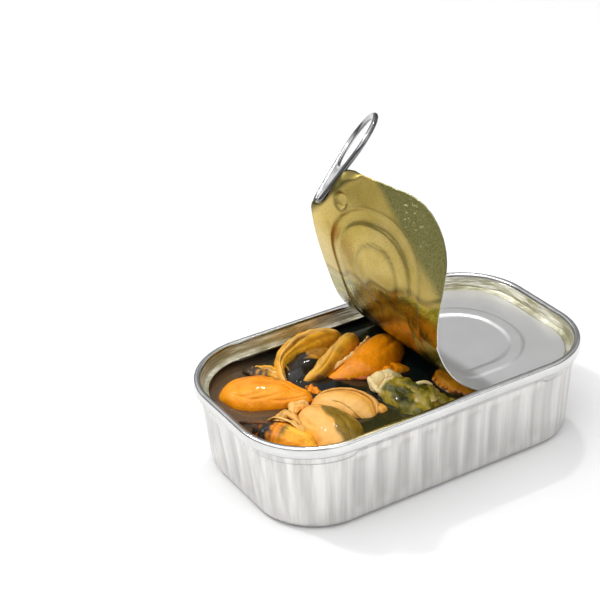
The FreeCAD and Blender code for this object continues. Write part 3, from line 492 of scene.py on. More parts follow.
seam_corners = [(0.05, 23.75), (0.0, 27.0), (1.75, 27.0), (2.28, 23.0), (3.86, 23.0), (3.86, 22.75),
                (1.62, 22.75), (1.52, 23.75)]
profile = rounded_profile(seam_corners, [0.55, 0.95, 0.75, 0.5, 0.06, 0.06, 0.3, 0.2])
inset, height = profile[:, 0], profile[:, 1]
marks = np.where((inset > 1.6) & (height < 26.4) & (height > 22.9), 1, 0)
ring_rows = oblong(LONG - inset, WIDE - inset, CORNER - inset, height)
ring_rows = np.concatenate([ring_rows, ring_rows[:1]])
# painted shade: a dark line along the seam's inner top edge, and darker on the lowest part of its outer
# face, where it meets the wall
seam_edge_shade = 0.75 * bell(inset, 1.85, 0.16) * (height > 25.5)
seam_edge_shade = seam_edge_shade + 0.5 * ease((24.6 - height) / 0.8) * (inset < 0.6)
seam_edge_shade = np.r_[seam_edge_shade, seam_edge_shade[:1]]
ring_tint = np.zeros((*ring_rows.shape[:2], 4))
ring_tint[..., 0] = seam_edge_shade[:, None]
piece("seam_and_ledge", [(ring_rows, ring_tint, np.r_[marks, marks[:1]], True)],
    [rim.material, chuck.material], "lid_ring")

# %% [markdown]
# ## The bent lid
# Sheet metal bends like paper: along straight lines only. Many fold lines fan out over
# the flat lid, and each turns all that lies beyond it by a small angle. A tight curl
# crosses the tab's corner. The pressed bead, the finger well and the rivet boss are
# heights on the flat lid, and are carried along.

# %% The bend
TEAR_A, TEAR_B, TEAR_R, LEVEL, SHEET = 48.54, 26.24, 16.94, 23.0, 0.25
LINES, REACH, BOSS = 70, 70.0, (-39.5, 13.5)


def turn_about(axis, angle):
    """Rotation matrix about a level axis."""
    x, y = axis
    c, s = np.cos(angle), np.sin(angle)
    k = 1 - c
    return np.array([[c + x * x * k, x * y * k, y * s], [x * y * k, c + y * y * k, -x * s],
            [-y * s, x * s, c]])


def fold_lines():
    """Foot and normal of every fold line in the flat lid, and where each strip between them ends up."""
    u = np.linspace(0, REACH, LINES)
    turn = np.radians(np.interp(u, (0, 14, 28, 42, 56, 70), (93.2, 88.1, 85.9, 109.3, 114.0, 118.7)))
    bend = np.radians(np.interp(u, (0, 6, 12, 20, 30, 42, 56, 70), (4.57, 3.20, 2.56, 2.57, 0.10, 1.46,
            1.20, 1.07)))
    start, corner = np.array([16.07, -2.0]), np.array([-45.0, 20.0])
    along = unit(corner - start)
    foot = start + u[:, None] * along
    normal = np.stack([-np.sin(turn), np.cos(turn)], -1)
    normal *= np.sign(normal @ along)[:, None]
    R, t = np.eye(3), np.array([0, 0, LEVEL])
    turns, shifts = [R], [t]
    for f, n, k in zip(foot, normal, bend * (normal @ along) * (u[1] - u[0])):
        r, q = turn_about((n[1], -n[0]), k), np.array([*f, 0.0])
        t = R @ (q - r @ q) + t
        R = R @ r
        turns.append(R)
        shifts.append(t)
    return foot, normal, np.array(turns), np.array(shifts)


FOOT, NORMAL, TURNS, SHIFTS = fold_lines()
CURL_TOP, CURL_TIP = np.array([-46.2, 12.0]), np.array([-33.8, 26.0])
CURL_RUN, CURL_TURN, LEAN = 18.0, 115, 11.0
CURL_WAY = (CURL_TIP - CURL_TOP) / np.hypot(*(CURL_TIP - CURL_TOP))
print("fold lines:", len(FOOT), "spread over", REACH, "mm")


def past_curl(x, y):
    """How far a place lies beyond the curl's line, and how far along it, as a share."""
    dx, dy = x - CURL_TOP[0], y - CURL_TOP[1]
    return dy * CURL_WAY[0] - dx * CURL_WAY[1], (dx * CURL_WAY[0] + dy * CURL_WAY[1]) / CURL_RUN


def bent(x, y, rise):
    """Flat place and rise to space: first the tight curl across the corner, then the rigid
    move of the strip it lies in, then the lean of the raised corner."""
    n = np.array([-CURL_WAY[1], CURL_WAY[0]])
    s, run = past_curl(x, y)
    bulge = np.sin(pi * np.clip(run, 0, 1)) + 2.0 * bell(run, 0.70, 0.2)
    bulge = bulge + 3.0 * ease((0.14 - run) / 0.45)
    s = s + bulge * ease((s + 4) / 4)
    r, over = 1.4 + 2.4 * ease(1 - run), np.maximum(s, 0)
    turn = np.minimum(over / r, radians(CURL_TURN))
    rest = over - r * turn
    out = r * np.sin(turn) + rest * np.cos(turn) - rise * np.sin(turn)
    lift = r * (1 - np.cos(turn)) + rest * np.sin(turn) + rise * np.cos(turn)
    foot_x, foot_y = x - over * n[0], y - over * n[1]
    from_x, from_y = foot_x[..., None] - FOOT[:, 0], foot_y[..., None] - FOOT[:, 1]
    beyond = from_x * NORMAL[:, 0] + from_y * NORMAL[:, 1] > 0
    k = np.cumprod(beyond, axis=-1).sum(-1)
    flat = np.stack([foot_x + out * n[0], foot_y + out * n[1], lift], -1)
    P = np.einsum("...ij,...j->...i", TURNS[k], flat) + SHIFTS[k]
    lean = LEAN * ease((foot_y - 2) / 24.0) * ease((-foot_x - 8) / 26.0)
    return P + lean[..., None] * np.array([-0.475, -0.768, 0.43])


def pattern(x, y):
    """Distances on the flat lid from the stadium-shaped bead's line, from the edge of the
    finger well and from the middle of the rivet's boss."""
    r = 16.6 * 0.93
    dx, dy = np.abs(x) - (38.3 - r), np.abs(y) - (16.6 - r)
    bead = np.hypot(np.maximum(dx, 0), np.maximum(dy, 0)) + np.minimum(np.maximum(dx, dy), 0) - r
    return np.abs(bead), np.hypot(x + 23, y + 1.5) - 8.0, np.hypot(x - BOSS[0], y - BOSS[1])


def pressed(x, y):
    """Heights of the pattern: a flat-topped bead up, the well down, the boss up in a ring."""
    bead, well, boss = pattern(x, y)
    h = 0.32 * ease(0.5 + (1.9 - bead) / 1.1) - 0.26 * ease(0.5 - well / 1.1)
    return h + 0.95 * ease(0.5 - (boss - 2.1) / 0.8) - 0.14 * bell(boss, 3.4, 0.5)


def cloud2(x, y, size):
    """Slow waves over the flat lid, about size mm long."""
    k = 2 * pi / size
    return (np.sin(k * x + 1.1 * np.sin(k * 0.7 * y)) + np.sin(0.8 * k * y + 1.3 * np.sin(k * 0.6 * x)
            + 2)) / 2


def pattern_shade(x, y):
    """1 along the feet of the pattern: painted shade where the bead, the well and
    the boss rise from the flat lid.
    """
    bead, well, boss = pattern(x, y)
    return bell(bead, 1.8, 0.7) + bell(well, 0.5, 0.7) + 1.4 * bell(boss, 2.5, 0.5)


# %% The lid panel
disc = oblong_samples(120, 60, 40)
share = np.r_[np.linspace(0, 0.66, 34), np.linspace(0.67, 0.90, 42), np.linspace(0.912, 1.0, 12)]
flat = oblong([TEAR_A], [TEAR_B], [TEAR_R], [0.0], disc)[0, :, :2]
fx, fy = share[:, None] * flat[:, 0], share[:, None] * flat[:, 1]
tremble = 0.12 * np.sin(flat[:, 0] * 1.7 + 2 * np.sin(flat[:, 1] * 0.9)) * ease((14 - flat[:, 0]) / 10)
fx = fx + share[:, None] ** 12 * tremble * 0.5
upper = bent(fx, fy, pressed(fx, fy))
lower = bent(fx, fy, pressed(fx, fy) - SHEET)
rows = np.concatenate([upper, lower[::-1]])
corner_side = (fx + 47.5) * -0.755 + (fy - 1) * -0.655 + 0.8 * cloud2(fx, fy, 14)
curl_side = past_curl(fx, fy)[0]
film_edge = lower[..., 2] - 45.0 + 0.2 * (fy - 20) - 1.2 * cloud2(fx, fy, 12)
fade = ease((lower[..., 2] - 40) / 22)
# painted shade over the right corner; wet film; a dark line along the film's edge, with painted
# shade at the pattern's feet and in the curl's inside; scratches
masks = np.stack([(0.35 + 0.6 * fade) * ease(corner_side / 3.0 + 0.4), ease(-film_edge / 2.2),
        0.6 * bell(film_edge, 0.4, 0.8) + 0.45 * pattern_shade(fx, fy) + 1.0 * ease((curl_side + 2.6) / 2.6),
        ease((corner_side - 1) / 3) * bell(fy, -7, 8) * bell(fx, -41, 7)], -1)
tints = np.concatenate([0 * masks, np.clip(masks, 0, 1)[::-1]])
mark = np.r_[np.zeros(len(share) - 1), [2], np.ones(len(share))].astype(int)
piece("bent_lid", [(rows, tints, mark, True)], [satin.material, gold.material, rim.material],
    "lid_panel")

# %% [markdown]
# ## The ring-pull
# A stamped tab with its edges rolled under: seen from the side it is a bright tube that
# runs round a teardrop, with a thinner web at the nose. The tube is a circle carried
# round the teardrop; the web is a thin plate inside the nose end.

# %% The pull
AXIS, ACROSS = np.array([0.6793, -0.0045, 0.7338]), np.array([0.3127, 0.9065, -0.2838])
FACE = np.cross(AXIS, ACROSS)
roll = radians(-4.6)
ACROSS, FACE = np.cos(roll) * ACROSS + np.sin(roll) * FACE, np.cos(roll) * FACE - np.sin(roll) * ACROSS
NOSE = np.array([-11.4, 18.5, 66.5])
RING_R, NOSE_R, PULL, STEPS = 10.1 * 0.95, 5.0, 29.8, 14


def teardrop(inset, n=220):
    """Hull of two circles, shrunk by inset: outward directions sweep once round, and each
    point is its circle's centre plus radius times the direction."""
    big, small = PULL - RING_R, NOSE_R
    lean = np.arccos((RING_R - NOSE_R) / (big - small))
    edge = pi - lean
    a = np.linspace(-pi, pi, n, endpoint=False)
    on_ring = np.abs(a) <= edge
    c = np.where(on_ring, big, small)
    rad = np.where(on_ring, RING_R, NOSE_R) - inset
    return np.stack([c + rad * np.cos(a), rad * np.sin(a)], -1)


def to_space(u, v, w):
    """Along the pull, across it and off its face, to the tin's frame."""
    return NOSE + u[..., None] * AXIS + v[..., None] * ACROSS + w[..., None] * FACE


def rolled_loop(line, radius_u, radius_w, steps=STEPS):
    """A squashed circle carried round a closed plane line."""
    ahead = unit(np.roll(line, -1, 0) - np.roll(line, 1, 0))
    out = np.stack([ahead[:, 1], -ahead[:, 0]], -1)
    a = np.linspace(0, 2 * pi, steps, endpoint=False)
    u = line[:, 0] + np.cos(a)[:, None] * radius_u * out[:, 0]
    v = line[:, 1] + np.cos(a)[:, None] * radius_u * out[:, 1]
    w = np.broadcast_to(np.sin(a)[:, None] * radius_w, u.shape)
    rows = to_space(u, v, w)
    return np.concatenate([rows, rows[:1]])


edge_line = teardrop(0.95)
hole_t = np.linspace(0, 2 * pi, 120, endpoint=False)
ring_at = PULL - RING_R
hole_line = np.stack([ring_at + 7.9 * np.cos(hole_t), 7.9 * np.sin(hole_t)], -1)


def web():
    """A thin plate between the finger hole and the rolled edge at the nose: from hole side to
    edge side, top and bottom."""
    n = 90
    a = np.linspace(radians(100), radians(260), n)
    near = np.stack([ring_at + 7.6 * np.cos(a), 7.6 * np.sin(a)], -1)
    b = np.linspace(radians(97), radians(263), n)
    far = np.stack([NOSE_R + 3.4 * np.cos(b), 3.4 * np.sin(b)], -1)
    t = np.linspace(0, 1, 24)[:, None, None]
    grid = near * (1 - t) + far * t
    rise = 0.28 + 0.25 * np.sin(pi * t[..., 0]) * np.cos((b - pi) * 1.1)
    top = to_space(grid[..., 0], grid[..., 1], rise)
    low = to_space(grid[..., 0], grid[..., 1], rise - 0.5)
    return np.concatenate([top, low[::-1], top[:1]])


def around(rows, dark):
    """Masks for a loop: one darkness per step round the tube."""
    tint = np.zeros((*rows.shape[:2], 4))
    tint[..., 0] = np.r_[dark, dark[:1]][:, None]
    return tint


tube_turn = np.linspace(0, 2 * pi, STEPS, endpoint=False)
edge_rows, hole_rows = rolled_loop(edge_line, 0.88, 0.80), rolled_loop(hole_line, 0.55, 0.5)
web_rows = web()
# painted reflection: dark lines along the tube's outer sides; painted shade on its inner side, round the
# finger hole and in two lines across the web
outer = np.abs((tube_turn + pi) % (2 * pi) - pi)
edge_dark = 0.9 * bell(outer, 0.25, 0.5) + 0.45 * bell(tube_turn, pi, 0.45)
hole_dark = 0.7 * bell(tube_turn, pi, 0.6)
web_tint = np.zeros((*web_rows.shape[:2], 4))
t = np.linspace(0, 1, 24)[:, None]
web_tint[:24, :, 0] = 0.75 * bell(t, 0.12, 0.10) + 0.6 * bell(t, 0.62, 0.10)
tab_sheets = [(edge_rows, around(edge_rows, edge_dark), 0, True),
              (hole_rows, around(hole_rows, hole_dark), 0, True),
              (web_rows, web_tint, 0, False)]
piece("ring_pull", tab_sheets, [pull_finish.material], "pull_tab")

# %% [markdown]
# The pull hangs on a rivet by a tongue cut from its own nose. The rivet's head is a low
# dome on the lid, and the tongue is a flat strip that bends from the head to the nose.

# %% The rivet and the tongue
spot_x, spot_y = BOSS[0] + np.array([0, 0.5, 0]), BOSS[1] + np.array([0, 0, 0.5])
seat, east, north = bent(spot_x, spot_y, np.full(3, 0.9))
east, north = unit(east - seat), unit(north - seat)
off_lid = np.cross(east, north)
turn_once = np.linspace(0, 2 * pi, 40, endpoint=False)
circle = np.cos(turn_once)[:, None] * east + np.sin(turn_once)[:, None] * north
head = np.array([(0, -0.12), (1.9, -0.12), (2.2, -0.05), (3.0, 0.0), (3.1, 0.3), (2.7, 0.6), (1.6, 0.8),
        (0.8, 0.85), (0, 0.86)])
head_rows = seat + head[:, :1, None] * circle + head[:, 1:, None] * off_lid
t = np.linspace(0, 1, 40)[:, None]
nose = to_space(np.array(1.6), np.array(0.0), np.array(0.0))
knee = seat + 3.2 * off_lid
strip = (1 - t) ** 2 * seat + 2 * t * (1 - t) * knee + t * t * nose
ahead = unit(np.gradient(strip, axis=0))
flat_way = unit(ACROSS - (ahead @ ACROSS)[:, None] * ahead)
thin_way = np.cross(ahead, flat_way)
shut = np.sqrt(np.clip(1 - np.abs(2 * t - 1) ** 12, 0, 1))[:, :, None]
section = np.cos(turn_once)[:, None] * 2.1 * flat_way[:, None]
section = section + np.sin(turn_once)[:, None] * 0.4 * thin_way[:, None]
tongue_rows = strip[:, None] + shut * section
print("rivet seat and nose, mm:", seat.round(1), nose.round(1))
piece("pull_rivet", [(head_rows, None, 0, True), (tongue_rows, None, 0, True)],
    [pull_finish.material], "tab_rivet")

# %% [markdown]
# ## The oil
# The oil fills the tin to 6 mm below the rim and is nearly still. From above it is a
# dark mirror; near the left wall, where it is thin, the brown of the oil shows. Its
# surface climbs a little where it meets the wall, and the body reaches just into it.

# %% Oil finish
OIL = HIGH - 6.0
oil_finish = Finish("dark_oil", Roughness=0.03, IOR=1.47)
haze = oil_finish.noise(55, 4, 0.6, warp=0.6)
brown = oil_finish.span(oil_finish.along(0) + haze * 0.008, -0.014, -0.044)
front = oil_finish.span(oil_finish.along(1) + haze * 0.008, -0.006, -0.022)
pool = oil_finish.mix((0.006, 0.010, 0.009), (0.13, 0.075, 0.035), brown)
pool = oil_finish.mix(pool, (0.07, 0.065, 0.015), front * 0.7)
oil_finish.set(**{"Base Color": oil_finish.mix(pool, (0.10, 0.07, 0.02),
        oil_finish.span(haze, 0.55, 0.8) * 0.4), "Coat Weight": 0.3, "Alpha": 0.86})
oil_finish.bump(haze, 0.0003)
murk = Finish("deep_oil", Roughness=0.5)
murk.set(**{"Base Color": murk.mix((0.012, 0.012, 0.006), (0.05, 0.03, 0.012), murk.noise(60))})

# %% The oil's surface
oil_share = np.linspace(0, 1, 60)
a, b, r = wall_size(OIL, WALL - 0.12)
top_rows = oblong(a * oil_share, b * oil_share, r * oil_share, np.full(60, OIL), RING)
swell = 0.05 * np.sin(top_rows[..., 0] * 0.35
    + 1.2 * np.sin(top_rows[..., 1] * 0.22)) * np.cos(top_rows[..., 1] * 0.31)
top_rows[-1:] = fluted(top_rows[-1:])
top_rows[..., 2] += swell + 0.35 * oil_share[:, None] ** 40
za = np.array([18.0, 14.0, 9.0, 4.0, 3.0])
sa, sb, sr = wall_size(za, WALL - 0.12)
side_rows = fluted(oblong(sa, sb, sr, za, RING))
fa, fb, fr = wall_size(0.45, 2.4)
end = np.array([1.0, 0.5, 0.0])
floor_rows = oblong(fa * end, fb * end, fr * end, np.full(3, 0.45), RING)
body_rows = np.concatenate([top_rows, side_rows, floor_rows])
dark_share = np.array([0.0, 0.4, 0.8, 0.985])
da, db, dr = wall_size(16.5, WALL + 0.2)
lid_dark = oblong(da * dark_share, db * dark_share, dr * dark_share, np.full(4, 16.5), RING)
foot_dark = lid_dark[::-1] - [0, 0, 0.6]
piece("oil_pool", [(body_rows, None, 0, True), (np.concatenate([lid_dark, foot_dark]), None, 1, True)],
            [oil_finish.material, murk.material], "oil")

# %% [markdown]
# ## Mussel meat
# Every mussel is made of lobes. A lobe is an oval carried along a bent line: at each
# step the line gives a place, a half width and a half height, and the ends close like
# the end of an egg. Grooves, swellings and ruffles are then added to the oval's radius.
# The masks say where the flesh is dark, pale, olive or deep orange. Besides the flesh's own
# colours they hold painted highlights on tops and painted shade in folds and on lower sides.

# %% Lobes
def cloud(P, size, seed):
    """Smooth noise between about -1 and 1: six sine waves in random directions, about size mm
    long, added up."""
    rng = np.random.default_rng(seed)
    total = np.zeros(P.shape[:-1])
    for _ in range(6):
        k = rng.normal(size=3)
        k *= 2 * pi / size / np.linalg.norm(k) * rng.uniform(0.6, 1.5)
        total += np.sin(P @ k + rng.uniform(0, 2 * pi))
    return total / 2.6


def blots(P, size, seed, lift=0.0):
    """Soft-edged blots: the cloud lifted, and cut off below nought and above one."""
    return ease(cloud(P, size, seed) + lift)


def wet(P, height, fade):
    """1 at the oil, fading out to the height above it, in mm."""
    return ease((height - (P[..., 2] - OIL)) / fade)


def crease(P, size, seed):
    """1 on thin wandering lines: where a cloud passes through nought."""
    return bell(cloud(P, size, seed), 0, 0.07)


def through(rows, v):
    """A smooth line through the rows: the cubic whose slope at each row is half the step
    between its neighbours."""
    rows = np.asarray(rows, float)
    ends = np.vstack([2 * rows[0] - rows[1], rows, 2 * rows[-1] - rows[-2]])
    s = v * (len(rows) - 1)
    i = np.clip(np.floor(s).astype(int), 0, len(rows) - 2)
    f = (s - i)[:, None]
    a, b, c, d = ends[i], ends[i + 1], ends[i + 2], ends[i + 3]
    return 0.5 * (2 * b + (c - a) * f + (2 * a - 5 * b + 4 * c - d) * f ** 2
        + (3 * b - a - 3 * c + d) * f ** 3)


def lobe(rows, roll=0.0, folds=(), lumps=(0.25, 6.0), ruffle=(0, 0), blunt=5, seed=1,
        paint=None, n=120, m=72):
    """An oval carried along a line through rows of (x, y, height over the oil, half width,
    half height). roll turns the oval about the line, in degrees. Each fold is (angle, depth,
    width, wander, from, to): a groove of that share of the radius at that angle. lumps is
    (height, size) of the swellings, and ruffle (height, waves) of a frill along the oval's
    first edge. paint gives masks for an angle, a share of the way and a place."""
    v = 0.5 - 0.5 * np.cos(pi * np.linspace(0, 1, n))
    v[[0, -1]] = 0, 1
    line = through(rows, v)
    at = line[:, :3] + [0, 0, OIL]
    pace = np.gradient(np.maximum.accumulate(v) + np.arange(n) * 1e-9)
    ahead = unit(np.gradient(at, axis=0) / pace[:, None])
    side = unit(np.cross([0, 0, 1.0], ahead))
    up = np.cross(ahead, side)
    c, s = np.cos(radians(roll)), np.sin(radians(roll))
    side, up = side * c + up * s, up * c - side * s
    end = np.sqrt(np.maximum(1 - np.abs(2 * v - 1) ** blunt, 0))[:, None]
    A = np.linspace(0, 2 * pi, m, endpoint=False)[None, :]
    V = v[:, None]
    k = np.ones((n, m))
    for angle, depth, width, wander, start, stop in folds:
        gap = (np.degrees(A) - angle - wander * np.sin(2 * pi * 1.3 * V + angle) + 180) % 360 - 180
        k -= depth * bell(gap, 0, width) * ease((V - start) / 0.12) * ease((stop - V) / 0.12)
    w, h = line[:, 3:4] * end * 1.04, line[:, 4:5] * end * 1.04
    P = (at[:, None] + side[:, None] * (w * k * np.cos(A))[..., None]
        + up[:, None] * (h * k * np.sin(A))[..., None])
    outward = side[:, None] * (np.cos(A) * h)[..., None] + up[:, None] * (np.sin(A) * w)[..., None]
    outward /= np.maximum(np.linalg.norm(outward, axis=-1, keepdims=True), 1e-6)
    high, size = lumps
    swell = high * cloud(P, size, seed) + 0.25 * high * cloud(P, size * 0.35, seed + 1)
    P = P + outward * (swell * end)[..., None]
    if ruffle[0]:
        edge = ease(np.cos(A)) * end
        wave = np.sin(2 * pi * ruffle[1] * (V + 0.03 * np.sin(9 * V + seed)))
        P = P + up[:, None] * (ruffle[0] * edge * wave)[..., None]
    tint = np.zeros((n, m, 4))
    if paint is not None:
        for i, mask in paint(np.degrees(A) + 0 * V, V + 0 * A, P).items():
            tint[..., "dark pale olive deep".split().index(i)] = np.clip(mask, 0, 1)
    return P, tint, 0, True


def on_lobe(rows, angles, spans, half, count=8, out=0.0):
    """Rows for a strip that lies on a lobe: the oval's point at an angle, for steps along the
    lobe, with half width and half height."""
    v = np.linspace(*spans, count)
    line, nxt = through(rows, v), through(rows, np.clip(v + 0.01, 0, 1))
    back = through(rows, np.clip(v - 0.01, 0, 1))
    ahead = unit((nxt - back)[:, :3])
    side = unit(np.cross([0, 0, 1.0], ahead))
    up = np.cross(ahead, side)
    a = np.radians(np.linspace(*angles, count))
    end = np.sqrt(1 - np.abs(2 * v - 1) ** 5)
    P = line[:, :3] + side * ((line[:, 3] * end + out) * np.cos(a))[:, None]
    P = P + up * ((line[:, 4] * end + out) * np.sin(a))[:, None]
    return np.c_[P, np.full(count, half[0]), np.full(count, half[1])]


# %% [markdown]
# Wet flesh is a soft body under a clear coat: a little light scatters inside it, and the
# coat gives the sparks. One function makes all four finishes, so that they differ in
# colour alone; the masks of each lobe choose among the five colours of its finish.

# %% Flesh finishes
def flesh(name, main, pale, olive, deep, dark=(0.010, 0.007, 0.004), gloss=0.42):
    """Wet mussel flesh: the main colour, clouded, turned by the masks into four others; specks;
    a wet coat."""
    f = Finish(name, Roughness=gloss, Coat_Weight=1.0, Coat_Roughness=0.05, Coat_IOR=1.30,
               Specular_IOR_Level=0.12, Subsurface_Weight=0.15, Subsurface_Scale=0.0012)
    f.set(**{"Subsurface Radius": (1.0, 0.4, 0.05)})
    # the pale mask also carries painted highlights, the deep and dark masks painted shade
    dark_and_shade_mask, pale_and_highlight_mask, olive_mask, deep_and_shade_mask = f.tint()
    soft = f.noise(230, 4, 0.6, warp=0.4)
    fine = f.noise(1300, 3, 0.6)
    strand = f.noise(1, 3, 0.6, (900, 300, 600), 0.5)
    tone = f.mix(main, tuple(0.62 * c for c in main), f.span(soft, 0.45, 0.75) * 0.55)
    tone = f.mix(tone, pale, pale_and_highlight_mask + f.span(strand, 0.55, 0.75) * 0.10)
    tone = f.mix(tone, deep, deep_and_shade_mask)
    tone = f.mix(tone, f.mix(olive, tuple(0.6 * c for c in olive), f.span(strand, 0.4, 0.65)), olive_mask)
    tone = f.mix(tone, dark, dark_and_shade_mask + f.span(fine, 0.70, 0.78) * 0.5)
    f.set(**{"Base Color": tone})
    f.bump(soft * 0.5 + fine * 0.25 + strand * 0.35, 0.0006)
    return f.material


def meat(name, node, slot, lobes, *finishes):
    """A mussel in place of its CAD node."""
    piece(f"mussel_{name}_meat", lobes, finishes, f"mussel_{node}")


ORANGE, PEACH, CREAM = (0.95, 0.31, 0.003), (0.90, 0.43, 0.075), (0.86, 0.60, 0.24)
YELLOW, OLIVE = (0.82, 0.40, 0.022), (0.17, 0.115, 0.006)
BROWN, DEEP = (0.20, 0.075, 0.010), (0.48, 0.10, 0.002)
orange_flesh = flesh("flesh_orange", ORANGE, (0.95, 0.48, 0.035), OLIVE, DEEP)
yellow_flesh = flesh("flesh_yellow", YELLOW, CREAM, OLIVE, BROWN)
peach_flesh = flesh("flesh_peach", PEACH, CREAM, OLIVE, (0.46, 0.17, 0.015))
olive_flesh = flesh("flesh_olive", (0.32, 0.25, 0.022), (0.88, 0.70, 0.36), (0.10, 0.10, 0.006),
    (0.46, 0.30, 0.04))

# %% [markdown]
# The big plump mussel at the left, smooth but for a few creases on top, with a
# tongue-shaped foot at its right end.

# %% Plump mussel
# painted shade in two folds and along thin crease lines; painted highlights along the top and on the foot
plump = lobe([(-45.2, 15, -1.4, 3.2, 2.8), (-41.2, 13.2, -.6, 6.2, 4.2), (-36.2, 9.8, -.3, 7.2, 4.8),
        (-31, 5.2, -.3, 5.6, 4.2), (-27, 1.8, -.2, 3.3, 3.0), (-24.6, .2, -.4, 2.0, 2.2)],
    folds=[(50, .07, 5, 14, .1, .75), (70, .07, 4, 10, .25, .95), (95, .07, 3, 16, .35, .8),
        (112, .05, 3, 22, .15, .6), (135, .06, 4, 10, .5, .95), (40, .12, 7, 5, .62, 1),
        (84, .05, 3, 26, .1, .5), (124, .05, 3, 18, .2, .9)], lumps=(.16, 8), seed=3, n=170, m=130,
    paint=lambda a, v, P: {"deep": .45 * bell(a, 50, 10) * ease((v - .1) / .2)
        + .25 * bell(a, 95, 5) * ease((v - .3) / .1) + .22 * crease(P, 7, 71) * bell(a, 110, 50)
        + .35 * wet(P, .9, 1.4) + .12 * blots(P, 5, 6),
        "pale": .55 * ease((v - .72) / .2) * ease((cloud(P, 3, 5) + .4) / .8) + .25 * bell(a, 120, 25)})
meat("plump", "plump", "orange", [plump], orange_flesh)

# %% [markdown]
# The brightest mussel swells to the right, where it goes under the flap. A dark hem
# runs along its lower edge and a torn strip of pale skin along its back; both are thin
# lobes laid against it, because a groove alone could not stand off the flesh.

# %% Bright mussel
# painted shade in two folds, along a curved fold line and thin crease lines; painted highlight along the
# top
bright = lobe([(-16.4, 7.6, -1.4, 1.3, 1.4), (-11, 5.8, -.9, 3.2, 3.2), (-5, 5.2, -.2, 5.2, 4.6),
        (1.2, 7.4, .1, 6.2, 5.2), (6.4, 11.0, -.4, 5.4, 4.5), (10.0, 14.2, -1.2, 3.0, 2.8)],
    folds=[(-24, .13, 9, 8, .35, .97), (8, .05, 8, 6, .4, .9), (120, .06, 8, 6, .5, .95)],
    lumps=(.16, 8), seed=8, n=170, m=130,
    paint=lambda a, v, P: {"deep": .85 * bell(a, 333, 11) * ease((v - .3) / .2)
        + .4 * bell(a, 8, 9) * ease((v - .45) / .2)
        + .8 * bell(a + 60 * (v - .6), 50, 9) * bell(v, .68, .16) + .3 * crease(P, 8, 19)
        + .5 * wet(P, .7, 1.2), "pale": .5 * bell(a, 100, 35) * ease((v - .6) / .3),
        "olive": .22 * ease((v - .8) / .2) * bell(a, 330, 60)})
hem = lobe([(-15.6, 5.6, -.2, .5, .4), (-10.4, 2.9, .3, .7, .45), (-5.4, -.4, .5, .8, .5),
        (1.4, .6, .5, .8, .5), (7.6, 5.2, .5, .7, .5), (11.4, 10.2, .2, .5, .4)], roll=20,
    lumps=(.12, 3), ruffle=(.15, 9), seed=9, n=120, m=24,
    paint=lambda a, v, P: {"deep": 1, "dark": .35 + .3 * cloud(P, 3, 4)})
skin_edge = lobe([(-15.4, 9.0, .1, .5, .4), (-10.6, 9.0, 1.5, .6, .4), (-5.0, 10.2, 2.4, .6, .4),
        (0.2, 13.0, 2.6, .6, .4), (4.2, 16.2, 2.0, .5, .4)], roll=40, lumps=(.14, 3), ruffle=(.15, 8),
    seed=10, n=120, m=24,
    paint=lambda a, v, P: {"pale": .9 - .4 * blots(P, 3, 4), "deep": .25 * blots(P, 2, 7)})
meat("bright", "bright", "orange", [bright, hem, (*skin_edge[:2], 1, True)], orange_flesh, peach_flesh)

# %% [markdown]
# The open mussel shows its inside: two long lips lie round a dark, glossy middle, and
# the far lip rises highest. Each lip is a lobe of its own, so that they can part.

# %% Open mussel
# far lip: painted shade underneath and in one fold, painted highlight along its top
far = lobe([(-26.6, 9.6, -1.2, 1.0, 1.8), (-26.0, 14.0, -.5, 1.2, 2.8), (-23.2, 19, 0, 1.9, 3.6),
        (-17.2, 22.2, .4, 3.1, 4.4), (-11, 23.4, .5, 3.4, 4.6), (-5, 22.8, .2, 2.9, 4.2),
        (-.8, 21.2, -.4, 1.8, 3.0)], folds=[(75, .12, 8, 8, .05, .95), (105, .14, 8, 10, .15, .95),
        (135, .08, 7, 8, .3, .9)], lumps=(.18, 5), seed=11, n=150, m=90,
    paint=lambda a, v, P: {"pale": .4 * bell(a, 90, 14) + .3 * ease((.25 - v) / .2),
        "deep": .85 * bell(a, 280, 50) + .55 * bell(a, 105, 7) + .3 * blots(P, 5, 4),
        "olive": .6 * ease((v - .82) / .14), "dark": .5 * bell(a, 300, 25)})
# near lip: painted highlight along its top
near = lobe([(-22.6, 9.8, -1.6, 2.0, 2.2), (-17.6, 9.4, -.8, 2.2, 3.0), (-12.6, 11.4, -.1, 2.7, 3.9),
        (-7.2, 14.2, .2, 3.0, 4.3), (-2.2, 17, .2, 3.0, 4.2), (2.2, 19.8, -.5, 2.0, 3.0)],
    folds=[(100, .09, 8, 12, .1, .9), (60, .05, 8, 10, .3, .9)], lumps=(.16, 6), seed=13, n=140, m=90,
    paint=lambda a, v, P: {"pale": .3 * bell(a, 75, 25),
        "deep": .4 * blots(P, 4, 9, -.2) + .8 * bell(a, 150, 22) * ease((.6 - v) / .3)
        + .4 * bell(a, 20, 20), "dark": .5 * bell(a, 158, 10) * ease((.4 - v) / .2)})
gut = lobe([(-25.6, 11.4, -2.6, 3.0, 3.2), (-21.0, 13.6, -2.0, 4.8, 4.0), (-14.5, 16.8, -1.4, 4.8, 4.0),
        (-6, 19, -1.8, 3.0, 3.2)], lumps=(.12, 4.5), seed=17, n=180, m=130,
    paint=lambda a, v, P: {"dark": 1.0 * ease((-14.5 - P[..., 0] - .35 * (P[..., 1] - 15)
        + 1.2 * cloud(P, 3.5, 2)) / 1.6) + .45 * blots(P, 1.8, 6, -.5), "deep": .75 - .3 * blots(P, 3, 8)})
